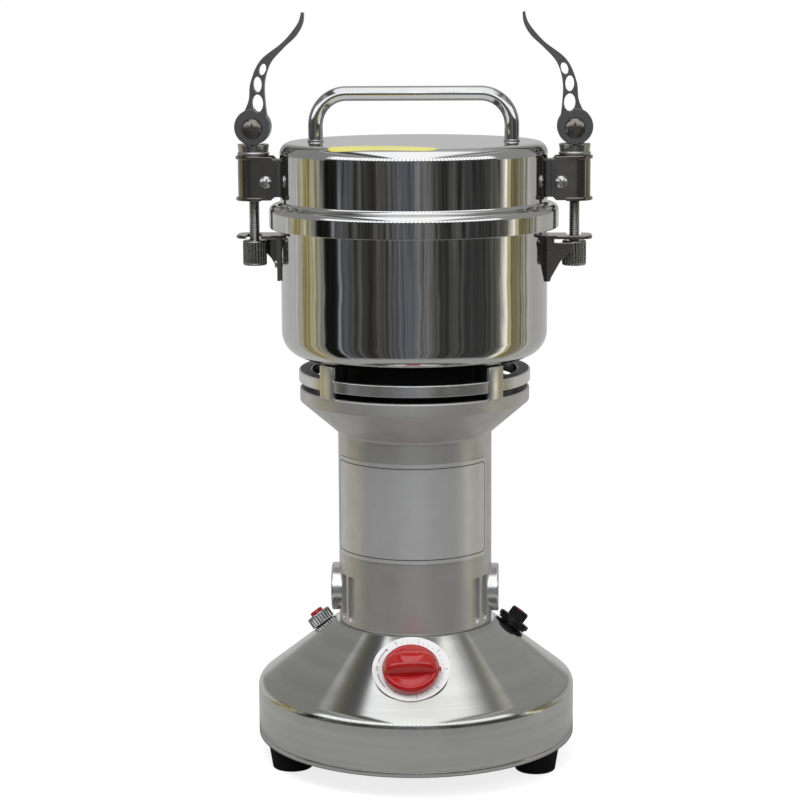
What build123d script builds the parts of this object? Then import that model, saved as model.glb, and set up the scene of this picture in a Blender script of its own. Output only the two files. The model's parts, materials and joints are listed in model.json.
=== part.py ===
# Electric powder grinder, millimetres, Z up, the front faces -Y and the origin is on the floor under the shaft
import math
import os

from build123d import *

os.makedirs("parts", exist_ok=True)

# Clearances and cuts shared by many pieces
play = 0.2
fit = 0.1
pin_fit = 0.05
running_gap = 0.04
bury = 1.0
through = 400.0

# Base
skirt_radius = 73.0
skirt_bottom = 10.2
skirt_top = 35.0
shoulder_radius = 7.2
cone_top_z = 63.5
cone_ledge = 1.5
sheet = 1.2
turned_in = 10.0
plate_low = 11.0
plate_thick = 1.5
air_slot_start = 24.0
air_slot_length = 20.0
air_slot_width = 3.2
air_slot_count = 12
foot_inset = 11.0
foot_angles = (-153.0, -27.0, 90.0)
foot_radius = 10.6
foot_taper = 1.6
foot_round = 1.2
foot_seat = 9.4
foot_well_radius = 4.6
foot_well = 5.0
foot_screw_radius = 2.0
foot_head_radius = 3.6
foot_head_height = 2.8
foot_screw_past = 1.5
tab_inset = 6.0
tab_width = 13.0
tab_thick = 2.5
grommet_bore = 3.2
grommet_neck = 5.0
grommet_lip = 7.0
grommet_proud = 0.9
grommet_depth = 5.4

# Motor housing
tube_radius = 35.0
tube_wall = 3.5
tube_height = 87.9
seat_lip = 4.5
seat_thick = 3.0
seat_screw_radius = 1.5
seat_head_radius = 2.9
seat_head_height = 2.4
funnel_round = 3.0
funnel_height = 14.8
funnel_drop = 1.5
collar_inset = 7.9
collar_height = 5.9
collar_wall = 6.6
collar_round = 1.0
ring_rise = 2.8
ring_height = 5.3
ring_proud = 0.4
ring_width = 6.0
ring_edge = 0.4
bowl_rise = 6.3
post_width = 8.5
post_depth = 9.6
post_proud = 0.6
slot_width = 5.5
slot_height = 20.0
slot_rise = 3.2
slot_depth = 2.2
slot_leans = (54.0, 66.0)
brush_rise = 14.2
brush_cap_radius = 11.0
brush_cap_proud = 3.4
brush_cap_edge = 0.9
cap_slot_length = 12.0
cap_slot_width = 1.8
cap_slot_depth = 1.0
label_rise = 33.1
label_height = 45.2
label_half = 75.0
label_thick = 0.35
label_gap = 0.1

# Motor and rotor
shaft_radius = 4.0
shaft_clear = 1.0
shaft_low = 1.2
shaft_past = 1.8
shaft_edge = 0.6
bearing_radius = 11.0
bearing_width = 7.0
bearing_race = 2.0
shield_depth = 0.5
bearing_drop = 3.5
bearing_set = 11.3
bell_radius = 34.0
bell_wall = 2.5
bell_height = 28.5
bell_top = 3.8
bell_floor = 2.0
bell_plate = 3.0
boss_skirt = 1.0
bell_vent_reach = 22.0
bell_vent_radius = 6.0
core_rise = 18.3
core_height = 36.0
armature_radius = 16.8
air_gap = 0.6
yoke = 5.2
pole_half = 48.8
coil_clear = 1.6
coil_end = 5.5
coil_half = 78.0
core_slot_count = 12
core_slot_width = 2.6
core_slot_depth = 6.0
winding_radius = 15.6
winding_end_radius = 13.5
winding_round = 3.0
winding_length = 8.2
commutator_radius = 11.0
commutator_half = 7.0
riser_radius = 12.6
riser_height = 2.0
bar_count = 24
bar_gap = 0.6
brush_width = 6.0
brush_height = 9.0
brush_inset = 1.5
holder_radius = 7.0
holder_clear = 3.0
holder_inset = 0.9
fan_rise = 9.0
fan_height = 9.0
fan_hub = 9.0
fan_clear = 2.2
fan_plate = 1.5
fan_blade = 1.4
fan_blade_count = 9

# Bowl and blades
bowl_radius = 60.0
bowl_wall = 1.5
bowl_depth = 64.7
bowl_corner = 9.0
flange_width = 2.8
screw_margin = 3.2
bell_screw_inset = 10.0
bowl_screw_radius = 1.6
bowl_head_radius = 2.9
bowl_head_height = 2.0
post_grip = 8.0
bell_grip = 3.4
seal_neck = 9.1
seal_flange = 14.0
seal_step = 2.4
seal_height = 4.2
seal_top = 8.0
seal_round = 0.8
blade_clear = 0.6
tip_clear = 7.5
tip_step = 6.0
blade_rise = 10.2
blade_spacing = 12.5
blade_thick = 2.2
blade_half = 7.0
blade_hub = 10.0
spacer_radius = 7.0
blade_nut_radius = 7.5
blade_nut_height = 6.5

# Lid
lid_wall = 1.5
lid_height = 27.6
lid_shoulder = 5.0
rim_clear = 0.7
rim_height = 10.3
rim_round = 1.8
lid_seal_thick = 1.8
handle_inset = 16.1
handle_rod = 3.3
handle_rise = 24.6
handle_bend = 14.0
handle_collar = 1.6
handle_screw_radius = 2.0
handle_screw_grip = 7.6
handle_head_radius = 4.2
handle_head_height = 2.6

# Clamps
bolt_standoff = 7.0
bolt_radius = 2.4
bolt_play = 0.5
bolt_past = -0.8
bolt_top = 1.6
box_rise = 1.4
box_height = 20.0
box_half = 7.1
box_wall = 1.5
box_lip = 1.0
box_gap = 1.6
box_corner = 2.4
lip_back = 4.0
ear_screw_inset = 6.1
ear_screw_rise = 8.5
ear_screw_radius = 1.6
ear_head_radius = 2.85
ear_head_height = 2.0
ear_nut_radius = 3.1
ear_nut_height = 2.4
ear_clear = 0.9
cam_radius = 8.0
cam_offset = 0.60
cam_gap = 0.3
hub_rise = 12.2
pin_radius = 4.3
pin_past = 0.3
pin_recess_radius = 2.7
pin_recess = 1.3
lever_length = 51.3
lever_half = 4.0
cheek_half = 4.8
cheek_clear = 0.35
saddle_radius = 7.2
saddle_lip = 0.7
trough_clear = 1.5
nut_radius = 5.4
nut_height = 11.3
nut_gap = 1.15
nut_edge = 0.5
flute = 0.5
flute_count = 20
fork_drop = 5.2
fork_thick = 1.5
fork_tip = 7.9
fork_open = 7.0
fork_closed = 9.2
fork_clear = 0.9
fork_round = 4.4
gusset_height = 19.0
gusset_thick = 1.6
gusset_foot = 0.6
gusset_set = 8.1
gusset_drop = 3.5
gusset_slot = 1.6
gusset_neck = 3.0
gusset_waist = 5.6
gusset_waist_rise = 8.9
gusset_round = 1.0
back_plate = 1.7
rivet_radius = 1.2
rivet_head_radius = 2.1
rivet_head_height = 1.0
rivet_rise = 8.0
rivet_spread = 4.8

# Controls on the cone, their places as shares of the way from its top to the skirt
timer_share = 0.4247
reset_share = 0.2329
fuse_share = 0.2466
reset_angle = 165.0
fuse_angle = 15.0
timer_radius = 15.0
timer_depth = 24.0
timer_step = 3.2
timer_neck = 4.6
timer_rise = 0.7
spindle_radius = 2.95
spindle_depth = 12.0
dial_radius = 17.3
dial_thick = 0.4
dial_rise = 2.3
knob_radius = 12.6
knob_height = 12.8
knob_gap = 0.9
knob_skirt = 5.7
knob_deck = 6.0
knob_round = 1.4
knob_edge = 0.7
grip_half = 5.6
grip_end = 8.6
grip_round = 2.4
breaker_width = 13.0
breaker_depth = 20.0
breaker_drop = 2.6
reset_neck = 4.8
reset_rise = 3.8
bezel_radius = 5.85
bezel_height = 5.4
bezel_gap = 0.25
bezel_round = 0.7
bezel_flute_count = 24
button_radius = 3.2
button_gap = 0.3
button_height = 7.2
button_depth = 7.0
button_well = 12.0
button_round = 0.8
fuse_radius = 5.4
fuse_depth = 24.0
fuse_flange = 7.75
fuse_flange_low = 0.4
fuse_flange_step = 1.5
fuse_flange_high = 3.7
fuse_undercut = 0.8
fuse_bore = 3.6
fuse_floor = 4.0
fuse_cap_radius = 4.3
fuse_cap_height = 8.4
fuse_cap_round = 1.2
fuse_gap = 0.3
fuse_slot_width = 1.2
fuse_slot_depth = 0.8

# Sizes that follow from the ones above
cone_top_radius = tube_radius + cone_ledge
slope = math.atan2(cone_top_z - skirt_top, skirt_radius - cone_top_radius)
inner_skirt = skirt_radius - sheet
inside_cone = sheet / math.cos(slope)
plate_high = plate_low + plate_thick
foot_circle = skirt_radius - foot_inset
grommet_z = (skirt_bottom + skirt_top) / 2
tube_inner = tube_radius - tube_wall
seat_inner = tube_inner - seat_lip
seat_high = cone_top_z + seat_thick
seat_screw_circle = (seat_inner + tube_inner) / 2
funnel_z = cone_top_z + tube_height
collar_low = funnel_z + funnel_height
collar_radius = bowl_radius - collar_inset
collar_high = collar_low + collar_height
collar_inner = collar_radius - collar_wall
ring_radius = collar_radius + ring_proud
ring_inner = ring_radius - ring_width
ring_low = collar_high + ring_rise
ring_high = ring_low + ring_height
post_outer = ring_radius + post_proud
brush_z = cone_top_z + brush_rise
bowl_bottom = ring_high + bowl_rise
bowl_floor = bowl_bottom + bowl_wall
bowl_top = bowl_bottom + bowl_depth
bowl_inner = bowl_radius - bowl_wall
flange_radius = bowl_radius + flange_width
bearing_low_z = cone_top_z - bearing_drop
bearing_high_z = bowl_bottom - bearing_set
stator_radius = tube_inner - fit
stator_bore = armature_radius + air_gap
core_low = brush_z + core_rise
core_high = core_low + core_height
fan_low = core_high + fan_rise
lower_blade_z = bowl_floor + blade_rise
upper_blade_z = lower_blade_z + blade_spacing
blade_reach = bowl_inner - tip_clear
blade_nut_top = upper_blade_z + blade_thick + blade_nut_height
lid_radius = bowl_radius
rim_radius = flange_radius + rim_clear + lid_wall
seat_z = bowl_top + lid_seal_thick + 2 * play
rim_high = seat_z + lid_wall
rim_low = rim_high - rim_height
lid_top = rim_high + lid_height
lid_ceiling = lid_top - lid_wall
handle_reach = lid_radius - handle_inset
bolt_reach = rim_radius + bolt_standoff
box_low = rim_high + box_rise
box_high = box_low + box_height
box_start = lid_radius + box_gap
hub_z = box_high + hub_rise
saddle_seat = hub_z - cam_radius + cam_offset - cam_gap
ear_screw_reach = bolt_reach - ear_screw_inset
ear_screw_z = box_low + ear_screw_rise
fork_low = rim_low - fork_drop
fork_high = fork_low + fork_thick
fork_reach = bolt_reach + fork_tip
fork_slot = bolt_radius + fork_clear
gusset_low = fork_low - gusset_height
nut_high = fork_low - nut_gap
nut_low = nut_high - nut_height
rivet_z = gusset_low + rivet_rise
rivet_lean = math.degrees(math.asin(rivet_spread / bowl_radius))
rivet_angles = (rivet_lean, -rivet_lean)
cone_width = skirt_radius - cone_top_radius
timer_reach = cone_top_radius + timer_share * cone_width
reset_reach = cone_top_radius + reset_share * cone_width
fuse_reach = cone_top_radius + fuse_share * cone_width
rest = (Align.CENTER, Align.CENTER, Align.MIN)


# Height of the outer face of the cone at a radius
def cone_z(radius):
    return cone_top_z - (radius - cone_top_radius) * math.tan(slope)


# Plane that lies on the cone with its Z pointing out of it
def cone_plane(angle, radius):
    a = math.radians(angle)
    out = (math.sin(slope) * math.cos(a), math.sin(slope) * math.sin(a), math.cos(slope))
    along = (-math.sin(a), math.cos(a), 0)
    return Plane(origin=(radius * math.cos(a), radius * math.sin(a), cone_z(radius)), x_dir=along, z_dir=out)


# Line through points, a third number rounds that corner
def trace(points, closed=True):
    count = len(points)
    stops = []
    for i in range(count):
        x, y = points[i][0], points[i][1]
        inside = closed or 0 < i < count - 1
        if len(points[i]) < 3 or not inside:
            stops.append(((x, y), None, (x, y)))
            continue
        before = points[i - 1]
        after = points[(i + 1) % count]
        ux, uy = before[0] - x, before[1] - y
        vx, vy = after[0] - x, after[1] - y
        ul, vl = math.hypot(ux, uy), math.hypot(vx, vy)
        ux, uy, vx, vy = ux / ul, uy / ul, vx / vl, vy / vl
        half = math.acos(max(-1.0, min(1.0, ux * vx + uy * vy))) / 2
        back = points[i][2] / math.tan(half)
        bx, by = ux + vx, uy + vy
        bl = math.hypot(bx, by)
        depth = points[i][2] / math.sin(half) - points[i][2]
        middle = (x + bx / bl * depth, y + by / bl * depth)
        stops.append(((x + ux * back, y + uy * back), middle, (x + vx * back, y + vy * back)))
    for i in range(count):
        first, middle, last = stops[i]
        if middle is not None:
            ThreePointArc(first, middle, last)
        if not closed and i == count - 1:
            break
        following = stops[(i + 1) % count][0]
        if math.dist(last, following) > 1e-6:
            Line(last, following)


# Solid turned about Z from (radius, height) points
def turned(points):
    with BuildPart() as body:
        with BuildSketch(Plane.XZ):
            with BuildLine():
                trace(points)
            make_face()
        revolve(axis=Axis.Z)
    return body.part


def post(radius, low, high, x=0.0, y=0.0):
    with BuildPart() as body:
        with Locations((x, y, low)):
            Cylinder(radius, high - low, align=rest)
    return body.part


def tube(outer, inner, low, high):
    return turned([(inner, low), (outer, low), (outer, high), (inner, high)])


# Part of a ring between two angles in degrees
def wedge(inner, outer, low, high, start, end):
    a, b = math.radians(start), math.radians(end)
    with BuildPart() as body:
        with BuildSketch(Plane.XY.offset(low)):
            with BuildLine():
                CenterArc((0, 0), outer, start, end - start)
                Line((outer * math.cos(b), outer * math.sin(b)), (inner * math.cos(b), inner * math.sin(b)))
                CenterArc((0, 0), inner, start, end - start)
                Line((inner * math.cos(a), inner * math.sin(a)), (outer * math.cos(a), outer * math.sin(a)))
            make_face()
        extrude(amount=high - low)
    return body.part


# Outline in XY extruded between two heights
def slab(points, low, high):
    with BuildPart() as body:
        with BuildSketch(Plane.XY.offset(low)):
            with BuildLine():
                trace(points)
            make_face()
        extrude(amount=high - low)
    return body.part


# Outline in XZ extruded between two values of Y
def panel(points, near, far):
    with BuildPart() as body:
        with BuildSketch(Plane.XZ.offset(-far)):
            with BuildLine():
                trace(points)
            make_face()
        extrude(amount=far - near)
    return body.part


def turn(angle):
    return Location((0, 0, 0), (0, 0, angle))


def ring_spots(radius, angles, z=0.0):
    return [(radius * math.cos(math.radians(a)), radius * math.sin(math.radians(a)), z) for a in angles]


# Same spots at another height
def at_height(spots, z):
    return [(x, y, z) for x, y, old in spots]


# Cross recess in a screw head, as wide as the head allows
def cross(head_radius):
    span, width, depth = 1.3 * head_radius, 0.28 * head_radius, 0.66 * head_radius
    with BuildPart() as body:
        Box(span, width, depth)
        Box(width, span, depth)
    return body.part


# Solid turned about the normal of a plane on the cone
def on_cone(plane, points):
    return plane.location * turned(points)


quarters = (45.0, 135.0, 225.0, 315.0)
crosses = (0.0, 90.0, 180.0, 270.0)
timer_plane = cone_plane(-90.0, timer_reach)
reset_plane = cone_plane(reset_angle, reset_reach)
fuse_plane = cone_plane(fuse_angle, fuse_reach)
seat_screw_spots = ring_spots(seat_screw_circle, quarters)
foot_spots = ring_spots(foot_circle, foot_angles)
post_spots = ring_spots(bowl_radius - bowl_corner - screw_margin, quarters)
bell_spots = ring_spots(bell_radius - bell_screw_inset, crosses)

# Base cover, spun sheet with three welded tabs inside
inner_top_radius = cone_top_radius - (inside_cone - sheet) / math.tan(slope)
with BuildPart() as base_cover:
    add(turned([
        (skirt_radius, skirt_bottom),
        (skirt_radius, skirt_top, shoulder_radius),
        (cone_top_radius, cone_top_z),
        (cone_top_radius - turned_in, cone_top_z),
        (cone_top_radius - turned_in, cone_top_z - sheet),
        (inner_top_radius, cone_top_z - sheet),
        (inner_skirt, cone_z(inner_skirt) - inside_cone, shoulder_radius - sheet),
        (inner_skirt, skirt_bottom),
    ]))
    tab_start, tab_end = foot_circle - tab_inset, skirt_radius - sheet / 2
    with Locations(*[turn(a) for a in foot_angles]):
        with Locations(((tab_start + tab_end) / 2, 0, plate_high)):
            Box(tab_end - tab_start, tab_width, tab_thick, align=rest)
    with Locations(*foot_spots):
        Cylinder(foot_screw_radius, 2 * (plate_high + 2 * tab_thick), mode=Mode.SUBTRACT)
    with Locations(*at_height(seat_screw_spots, cone_top_z)):
        Cylinder(seat_screw_radius + play, 4 * sheet, mode=Mode.SUBTRACT)
    with Locations(timer_plane):
        Cylinder(timer_neck + play, 8 * sheet, mode=Mode.SUBTRACT)
    with Locations(reset_plane):
        Cylinder(reset_neck + play, 8 * sheet, mode=Mode.SUBTRACT)
    with Locations(fuse_plane):
        Cylinder(fuse_radius + play, 8 * sheet, mode=Mode.SUBTRACT)
    with Locations(Location((0, skirt_radius, grommet_z), (90, 0, 0))):
        Cylinder(grommet_neck, 8 * sheet, mode=Mode.SUBTRACT)

# Base plate with air slots
with BuildPart() as base_plate:
    add(post(inner_skirt - play, plate_low, plate_high))
    with Locations(*foot_spots):
        Cylinder(foot_screw_radius + play, through, mode=Mode.SUBTRACT)
    with Locations(*[turn(a * 360 / air_slot_count) for a in range(air_slot_count)]):
        with Locations((air_slot_start + air_slot_length / 2, 0, plate_low)):
            Box(air_slot_length, air_slot_width, 4 * plate_thick, mode=Mode.SUBTRACT)


# Rubber foot with a well for its screw
def foot(spot):
    shape = turned([
        (foot_screw_radius + play, foot_well),
        (foot_well_radius, foot_well),
        (foot_well_radius, 0),
        (foot_radius - foot_taper, 0, foot_round),
        (foot_radius, skirt_bottom - play),
        (foot_seat, skirt_bottom - play),
        (foot_seat, plate_low),
        (foot_screw_radius + play, plate_low),
    ])
    return Location(spot) * shape


with BuildPart() as foot_left:
    add(foot(foot_spots[0]))
with BuildPart() as foot_right:
    add(foot(foot_spots[1]))
with BuildPart() as foot_rear:
    add(foot(foot_spots[2]))

with BuildPart() as foot_screws:
    head_low = foot_well - foot_head_height
    for x, y, z in foot_spots:
        add(post(foot_screw_radius, foot_well, plate_high + tab_thick + foot_screw_past, x, y))
        add(post(foot_head_radius, head_low, foot_well, x, y))
    with Locations(*at_height(foot_spots, head_low)):
        add(cross(foot_head_radius), mode=Mode.SUBTRACT)

with BuildPart() as housing_screws:
    for x, y, z in seat_screw_spots:
        add(post(seat_head_radius, cone_top_z - sheet - seat_head_height, cone_top_z - sheet, x, y))
        add(post(seat_screw_radius, cone_top_z - sheet, seat_high, x, y))

# Motor housing, one casting from the tube up to the four posts
with BuildPart() as motor_housing:
    add(turned([
        (seat_inner, cone_top_z),
        (tube_radius, cone_top_z),
        (tube_radius, funnel_z, funnel_round),
        (collar_radius, collar_low, collar_round),
        (collar_radius, collar_high, collar_round),
        (collar_inner, collar_high),
        (collar_inner, collar_low - funnel_drop, 2 * collar_round),
        (tube_inner, funnel_z - funnel_drop),
        (tube_inner, seat_high),
        (seat_inner, seat_high),
    ]))
    add(turned([
        (ring_inner, ring_low),
        (ring_radius, ring_low, ring_edge),
        (ring_radius, ring_high, ring_edge),
        (ring_inner, ring_high),
    ]))
    with Locations(*[turn(a) for a in quarters]):
        with Locations((post_outer - post_depth / 2, 0, collar_high - bury)):
            Box(post_depth, post_width, bowl_bottom - collar_high + bury, align=rest)
    with Locations(*at_height(post_spots, bowl_bottom)):
        Cylinder(bowl_screw_radius, 2 * (post_grip + bury), mode=Mode.SUBTRACT)
    with Locations(*at_height(seat_screw_spots, cone_top_z)):
        Cylinder(seat_screw_radius, 3 * seat_thick, mode=Mode.SUBTRACT)
    slot_floor = tube_radius - slot_depth
    slot_low = cone_top_z + slot_rise
    half_slot = slot_width / 2
    with Locations(*[turn(side + lean * way) for side in (-90, 90) for lean in slot_leans for way in (-1, 1)]):
        with Locations((slot_floor + tube_wall, 0, slot_low + slot_height / 2)):
            Box(2 * tube_wall, slot_width, slot_height - slot_width, mode=Mode.SUBTRACT)
        for end in (half_slot, slot_height - half_slot):
            with Locations(Location((slot_floor, 0, slot_low + end), (0, 90, 0))):
                Cylinder(half_slot, 2 * tube_wall, align=rest, mode=Mode.SUBTRACT)
    with Locations(Location((0, 0, brush_z), (0, 90, 0))):
        Cylinder(holder_radius + fit, through, mode=Mode.SUBTRACT)

with BuildPart() as rating_plate:
    label_inner = tube_radius + label_gap
    label_low = cone_top_z + label_rise
    add(wedge(label_inner, label_inner + label_thick, label_low, label_low + label_height,
              -90.0 - label_half, -90.0 + label_half))


# Brush cap that follows the tube, on the +X side
def brush_cap():
    cap_reach = tube_radius + brush_cap_proud
    with BuildPart() as body:
        with Locations(Location((tube_inner, 0, brush_z), (0, 90, 0))):
            Cylinder(brush_cap_radius, cap_reach - tube_inner, align=rest)
        chamfer(body.edges().filter_by(GeomType.CIRCLE).sort_by(Axis.X)[-1], brush_cap_edge)
        with Locations((cap_reach, 0, brush_z)):
            Box(2 * cap_slot_depth, cap_slot_length, cap_slot_width, mode=Mode.SUBTRACT)
        Cylinder(tube_radius, through, mode=Mode.SUBTRACT)
    return body.part


with BuildPart() as brush_cap_right:
    add(brush_cap())
with BuildPart() as brush_cap_left:
    add(turn(180) * brush_cap())

with BuildPart() as brush_holders:
    holder_start = commutator_radius + holder_clear
    for side in (0, 180):
        with Locations(turn(side)):
            with Locations(Location((holder_start, 0, brush_z), (0, 90, 0))):
                Cylinder(holder_radius, tube_radius - holder_inset - holder_start, align=rest)
    with Locations((0, 0, brush_z)):
        Box(through, brush_width + play, brush_height + play, mode=Mode.SUBTRACT)

with BuildPart() as carbon_brushes:
    with Locations((0, 0, brush_z)):
        Box(2 * (tube_inner - brush_inset), brush_width, brush_height)
        Cylinder(commutator_radius + running_gap, 2 * brush_height, mode=Mode.SUBTRACT)

# Stator with two poles and its two coils
window_radius = stator_radius - yoke
window_half = 90.0 - pole_half
with BuildPart() as stator_core:
    add(tube(stator_radius, stator_bore, core_low, core_high))
    for side in (0, 180):
        add(wedge(stator_bore - bury, window_radius, core_low - bury, core_high + bury,
                  side - window_half, side + window_half), mode=Mode.SUBTRACT)

coil_inner = stator_bore + coil_clear
coil_outer = window_radius - play
coil_cut = pole_half + math.degrees(play / coil_inner)
with BuildPart() as field_coils:
    for side in (90, 270):
        add(wedge(coil_inner, coil_outer, core_low - coil_end, core_high + coil_end,
                  side - coil_half, side + coil_half))
    for side in (90, 270):
        add(wedge(coil_inner - bury, coil_outer + bury, core_low - play, core_high + play,
                  side - coil_cut, side + coil_cut), mode=Mode.SUBTRACT)

with BuildPart() as lower_end_bell:
    hub_low = bearing_low_z - bell_floor
    hub_radius = bearing_radius + bell_wall
    add(turned([
        (shaft_radius + shaft_clear, hub_low),
        (hub_radius, hub_low, shaft_clear),
        (hub_radius, seat_high),
        (tube_inner - fit, seat_high),
        (tube_inner - fit, seat_high + bell_plate),
        (bearing_radius, seat_high + bell_plate),
        (bearing_radius, bearing_low_z),
        (shaft_radius + shaft_clear, bearing_low_z),
    ]))
    with Locations(*ring_spots(bell_vent_reach, crosses, cone_top_z)):
        Cylinder(bell_vent_radius, 4 * (seat_thick + bell_plate), mode=Mode.SUBTRACT)

with BuildPart() as upper_end_bell:
    bell_inner = bell_radius - bell_wall
    boss_radius = bearing_radius + bell_wall
    race_top = bearing_high_z + bearing_width
    add(turned([
        (bell_inner, bowl_bottom - bell_height),
        (bell_radius, bowl_bottom - bell_height),
        (bell_radius, bowl_bottom),
        (shaft_radius + shaft_clear, bowl_bottom),
        (shaft_radius + shaft_clear, race_top),
        (bearing_radius, race_top),
        (bearing_radius, bearing_high_z - boss_skirt),
        (boss_radius, bearing_high_z - boss_skirt),
        (boss_radius, bowl_bottom - bell_top),
        (bell_inner, bowl_bottom - bell_top),
    ]))
    with Locations(*at_height(bell_spots, bowl_bottom)):
        Cylinder(bowl_screw_radius, 3 * bell_top, mode=Mode.SUBTRACT)


# Ball bearing with sunk shields
def bearing(low):
    bore = shaft_radius + running_gap
    inner, outer = shaft_radius + bearing_race, bearing_radius - bearing_race
    high = low + bearing_width
    deep, shallow = low + shield_depth, high - shield_depth
    return turned([
        (bore, low), (inner, low), (inner, deep), (outer, deep), (outer, low), (bearing_radius, low),
        (bearing_radius, high), (outer, high), (outer, shallow), (inner, shallow), (inner, high), (bore, high),
    ])


with BuildPart() as motor_bearings:
    add(bearing(bearing_low_z))
    add(bearing(bearing_high_z))

# Rotor
with BuildPart() as rotor_shaft:
    add(post(shaft_radius, bearing_low_z - shaft_low, blade_nut_top + shaft_past))
    chamfer(rotor_shaft.edges().filter_by(GeomType.CIRCLE), shaft_edge)

with BuildPart() as armature_core:
    add(tube(armature_radius, shaft_radius, core_low, core_high))
    with Locations(*[turn(a * 360 / core_slot_count) for a in range(core_slot_count)]):
        with Locations((armature_radius, 0, (core_low + core_high) / 2)):
            Box(2 * core_slot_depth, core_slot_width, 2 * core_height, mode=Mode.SUBTRACT)

with BuildPart() as armature_windings:
    for end, way in ((core_low, -1), (core_high, 1)):
        far = end + way * winding_length
        add(turned([
            (shaft_radius, end),
            (winding_radius, end),
            (winding_end_radius, far, winding_round),
            (shaft_radius, far),
        ]))

with BuildPart() as commutator:
    riser_low = brush_z + commutator_half
    add(turned([
        (shaft_radius, brush_z - commutator_half),
        (commutator_radius, brush_z - commutator_half),
        (commutator_radius, riser_low),
        (riser_radius, riser_low),
        (riser_radius, riser_low + riser_height),
        (shaft_radius, riser_low + riser_height),
    ]))
    with Locations(*[turn(a * 360 / bar_count) for a in range(bar_count)]):
        with Locations((riser_radius, 0, brush_z)):
            Box(2 * (riser_radius - commutator_radius + bar_gap), bar_gap, 6 * commutator_half, mode=Mode.SUBTRACT)

with BuildPart() as cooling_fan:
    fan_radius = tube_inner - fan_clear
    add(tube(fan_hub, shaft_radius, fan_low, fan_low + fan_height))
    add(tube(fan_radius, fan_hub - bury, fan_low, fan_low + fan_plate))
    with Locations(*[turn(a * 360 / fan_blade_count) for a in range(fan_blade_count)]):
        with Locations(((fan_hub - bury + fan_radius) / 2, 0, fan_low)):
            Box(fan_radius - fan_hub + bury, fan_blade, fan_height, align=rest)


# Flat blade with two swept arms
def blade(reach, low, lean):
    half = blade_half
    arm = [
        (-0.3 * half, -half),
        (0.40 * reach, -1.09 * half, 1.7 * half),
        (0.84 * reach, -0.51 * half, 1.1 * half),
        (reach, 0.46 * half, 0.14 * half),
        (0.96 * reach, 1.09 * half, 0.14 * half),
        (0.40 * reach, 0.94 * half, 1.7 * half),
        (-0.3 * half, half),
    ]
    with BuildPart() as body:
        add(slab(arm, low, low + blade_thick))
        add(turn(180) * slab(arm, low, low + blade_thick))
        add(post(blade_hub, low, low + blade_thick))
        Cylinder(shaft_radius, 3 * through, mode=Mode.SUBTRACT)
    return turn(lean) * body.part


with BuildPart() as lower_blade:
    add(blade(blade_reach, lower_blade_z, 20.0))
with BuildPart() as upper_blade:
    add(blade(blade_reach - tip_step, upper_blade_z, 110.0))

with BuildPart() as blade_spacers:
    add(tube(spacer_radius, shaft_radius, bowl_floor + seal_height + blade_clear, lower_blade_z))
    add(tube(spacer_radius, shaft_radius, lower_blade_z + blade_thick, upper_blade_z))

with BuildPart() as blade_nut:
    with BuildSketch(Plane.XY.offset(upper_blade_z + blade_thick)):
        RegularPolygon(blade_nut_radius, 6)
        Circle(shaft_radius, mode=Mode.SUBTRACT)
    extrude(amount=blade_nut_height)

# Bowl, its seal and its screws
rivet_turns = [turn(side + a) for side in (0, 180) for a in rivet_angles]
with BuildPart() as bowl:
    add(turned([
        (seal_neck, bowl_bottom),
        (bowl_radius, bowl_bottom, bowl_corner),
        (bowl_radius, bowl_top - bowl_wall),
        (flange_radius, bowl_top - bowl_wall),
        (flange_radius, bowl_top),
        (bowl_inner, bowl_top),
        (bowl_inner, bowl_floor, bowl_corner - bowl_wall),
        (seal_neck, bowl_floor),
    ]))
    with Locations(*at_height(post_spots + bell_spots, bowl_bottom)):
        Cylinder(bowl_screw_radius + fit, 4 * bowl_wall, mode=Mode.SUBTRACT)
    with Locations(*rivet_turns):
        with Locations(Location((bowl_radius, 0, rivet_z), (0, 90, 0))):
            Cylinder(rivet_radius, 4 * bowl_wall, mode=Mode.SUBTRACT)

with BuildPart() as shaft_seal:
    seal_bore = shaft_radius + running_gap
    add(turned([
        (seal_bore, bowl_bottom),
        (seal_neck, bowl_bottom),
        (seal_neck, bowl_floor),
        (seal_flange, bowl_floor),
        (seal_flange, bowl_floor + seal_step, seal_round),
        (seal_top, bowl_floor + seal_height),
        (seal_bore, bowl_floor + seal_height),
    ]))

with BuildPart() as bowl_screws:
    head_top = bowl_floor + bowl_head_height
    for spots, grip in ((post_spots, post_grip), (bell_spots, bell_grip)):
        for x, y, z in spots:
            add(post(bowl_head_radius, bowl_floor, head_top, x, y))
            add(post(bowl_screw_radius, bowl_bottom - grip, bowl_floor, x, y))
    with Locations(*at_height(post_spots + bell_spots, head_top)):
        add(cross(bowl_head_radius), mode=Mode.SUBTRACT)


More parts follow.
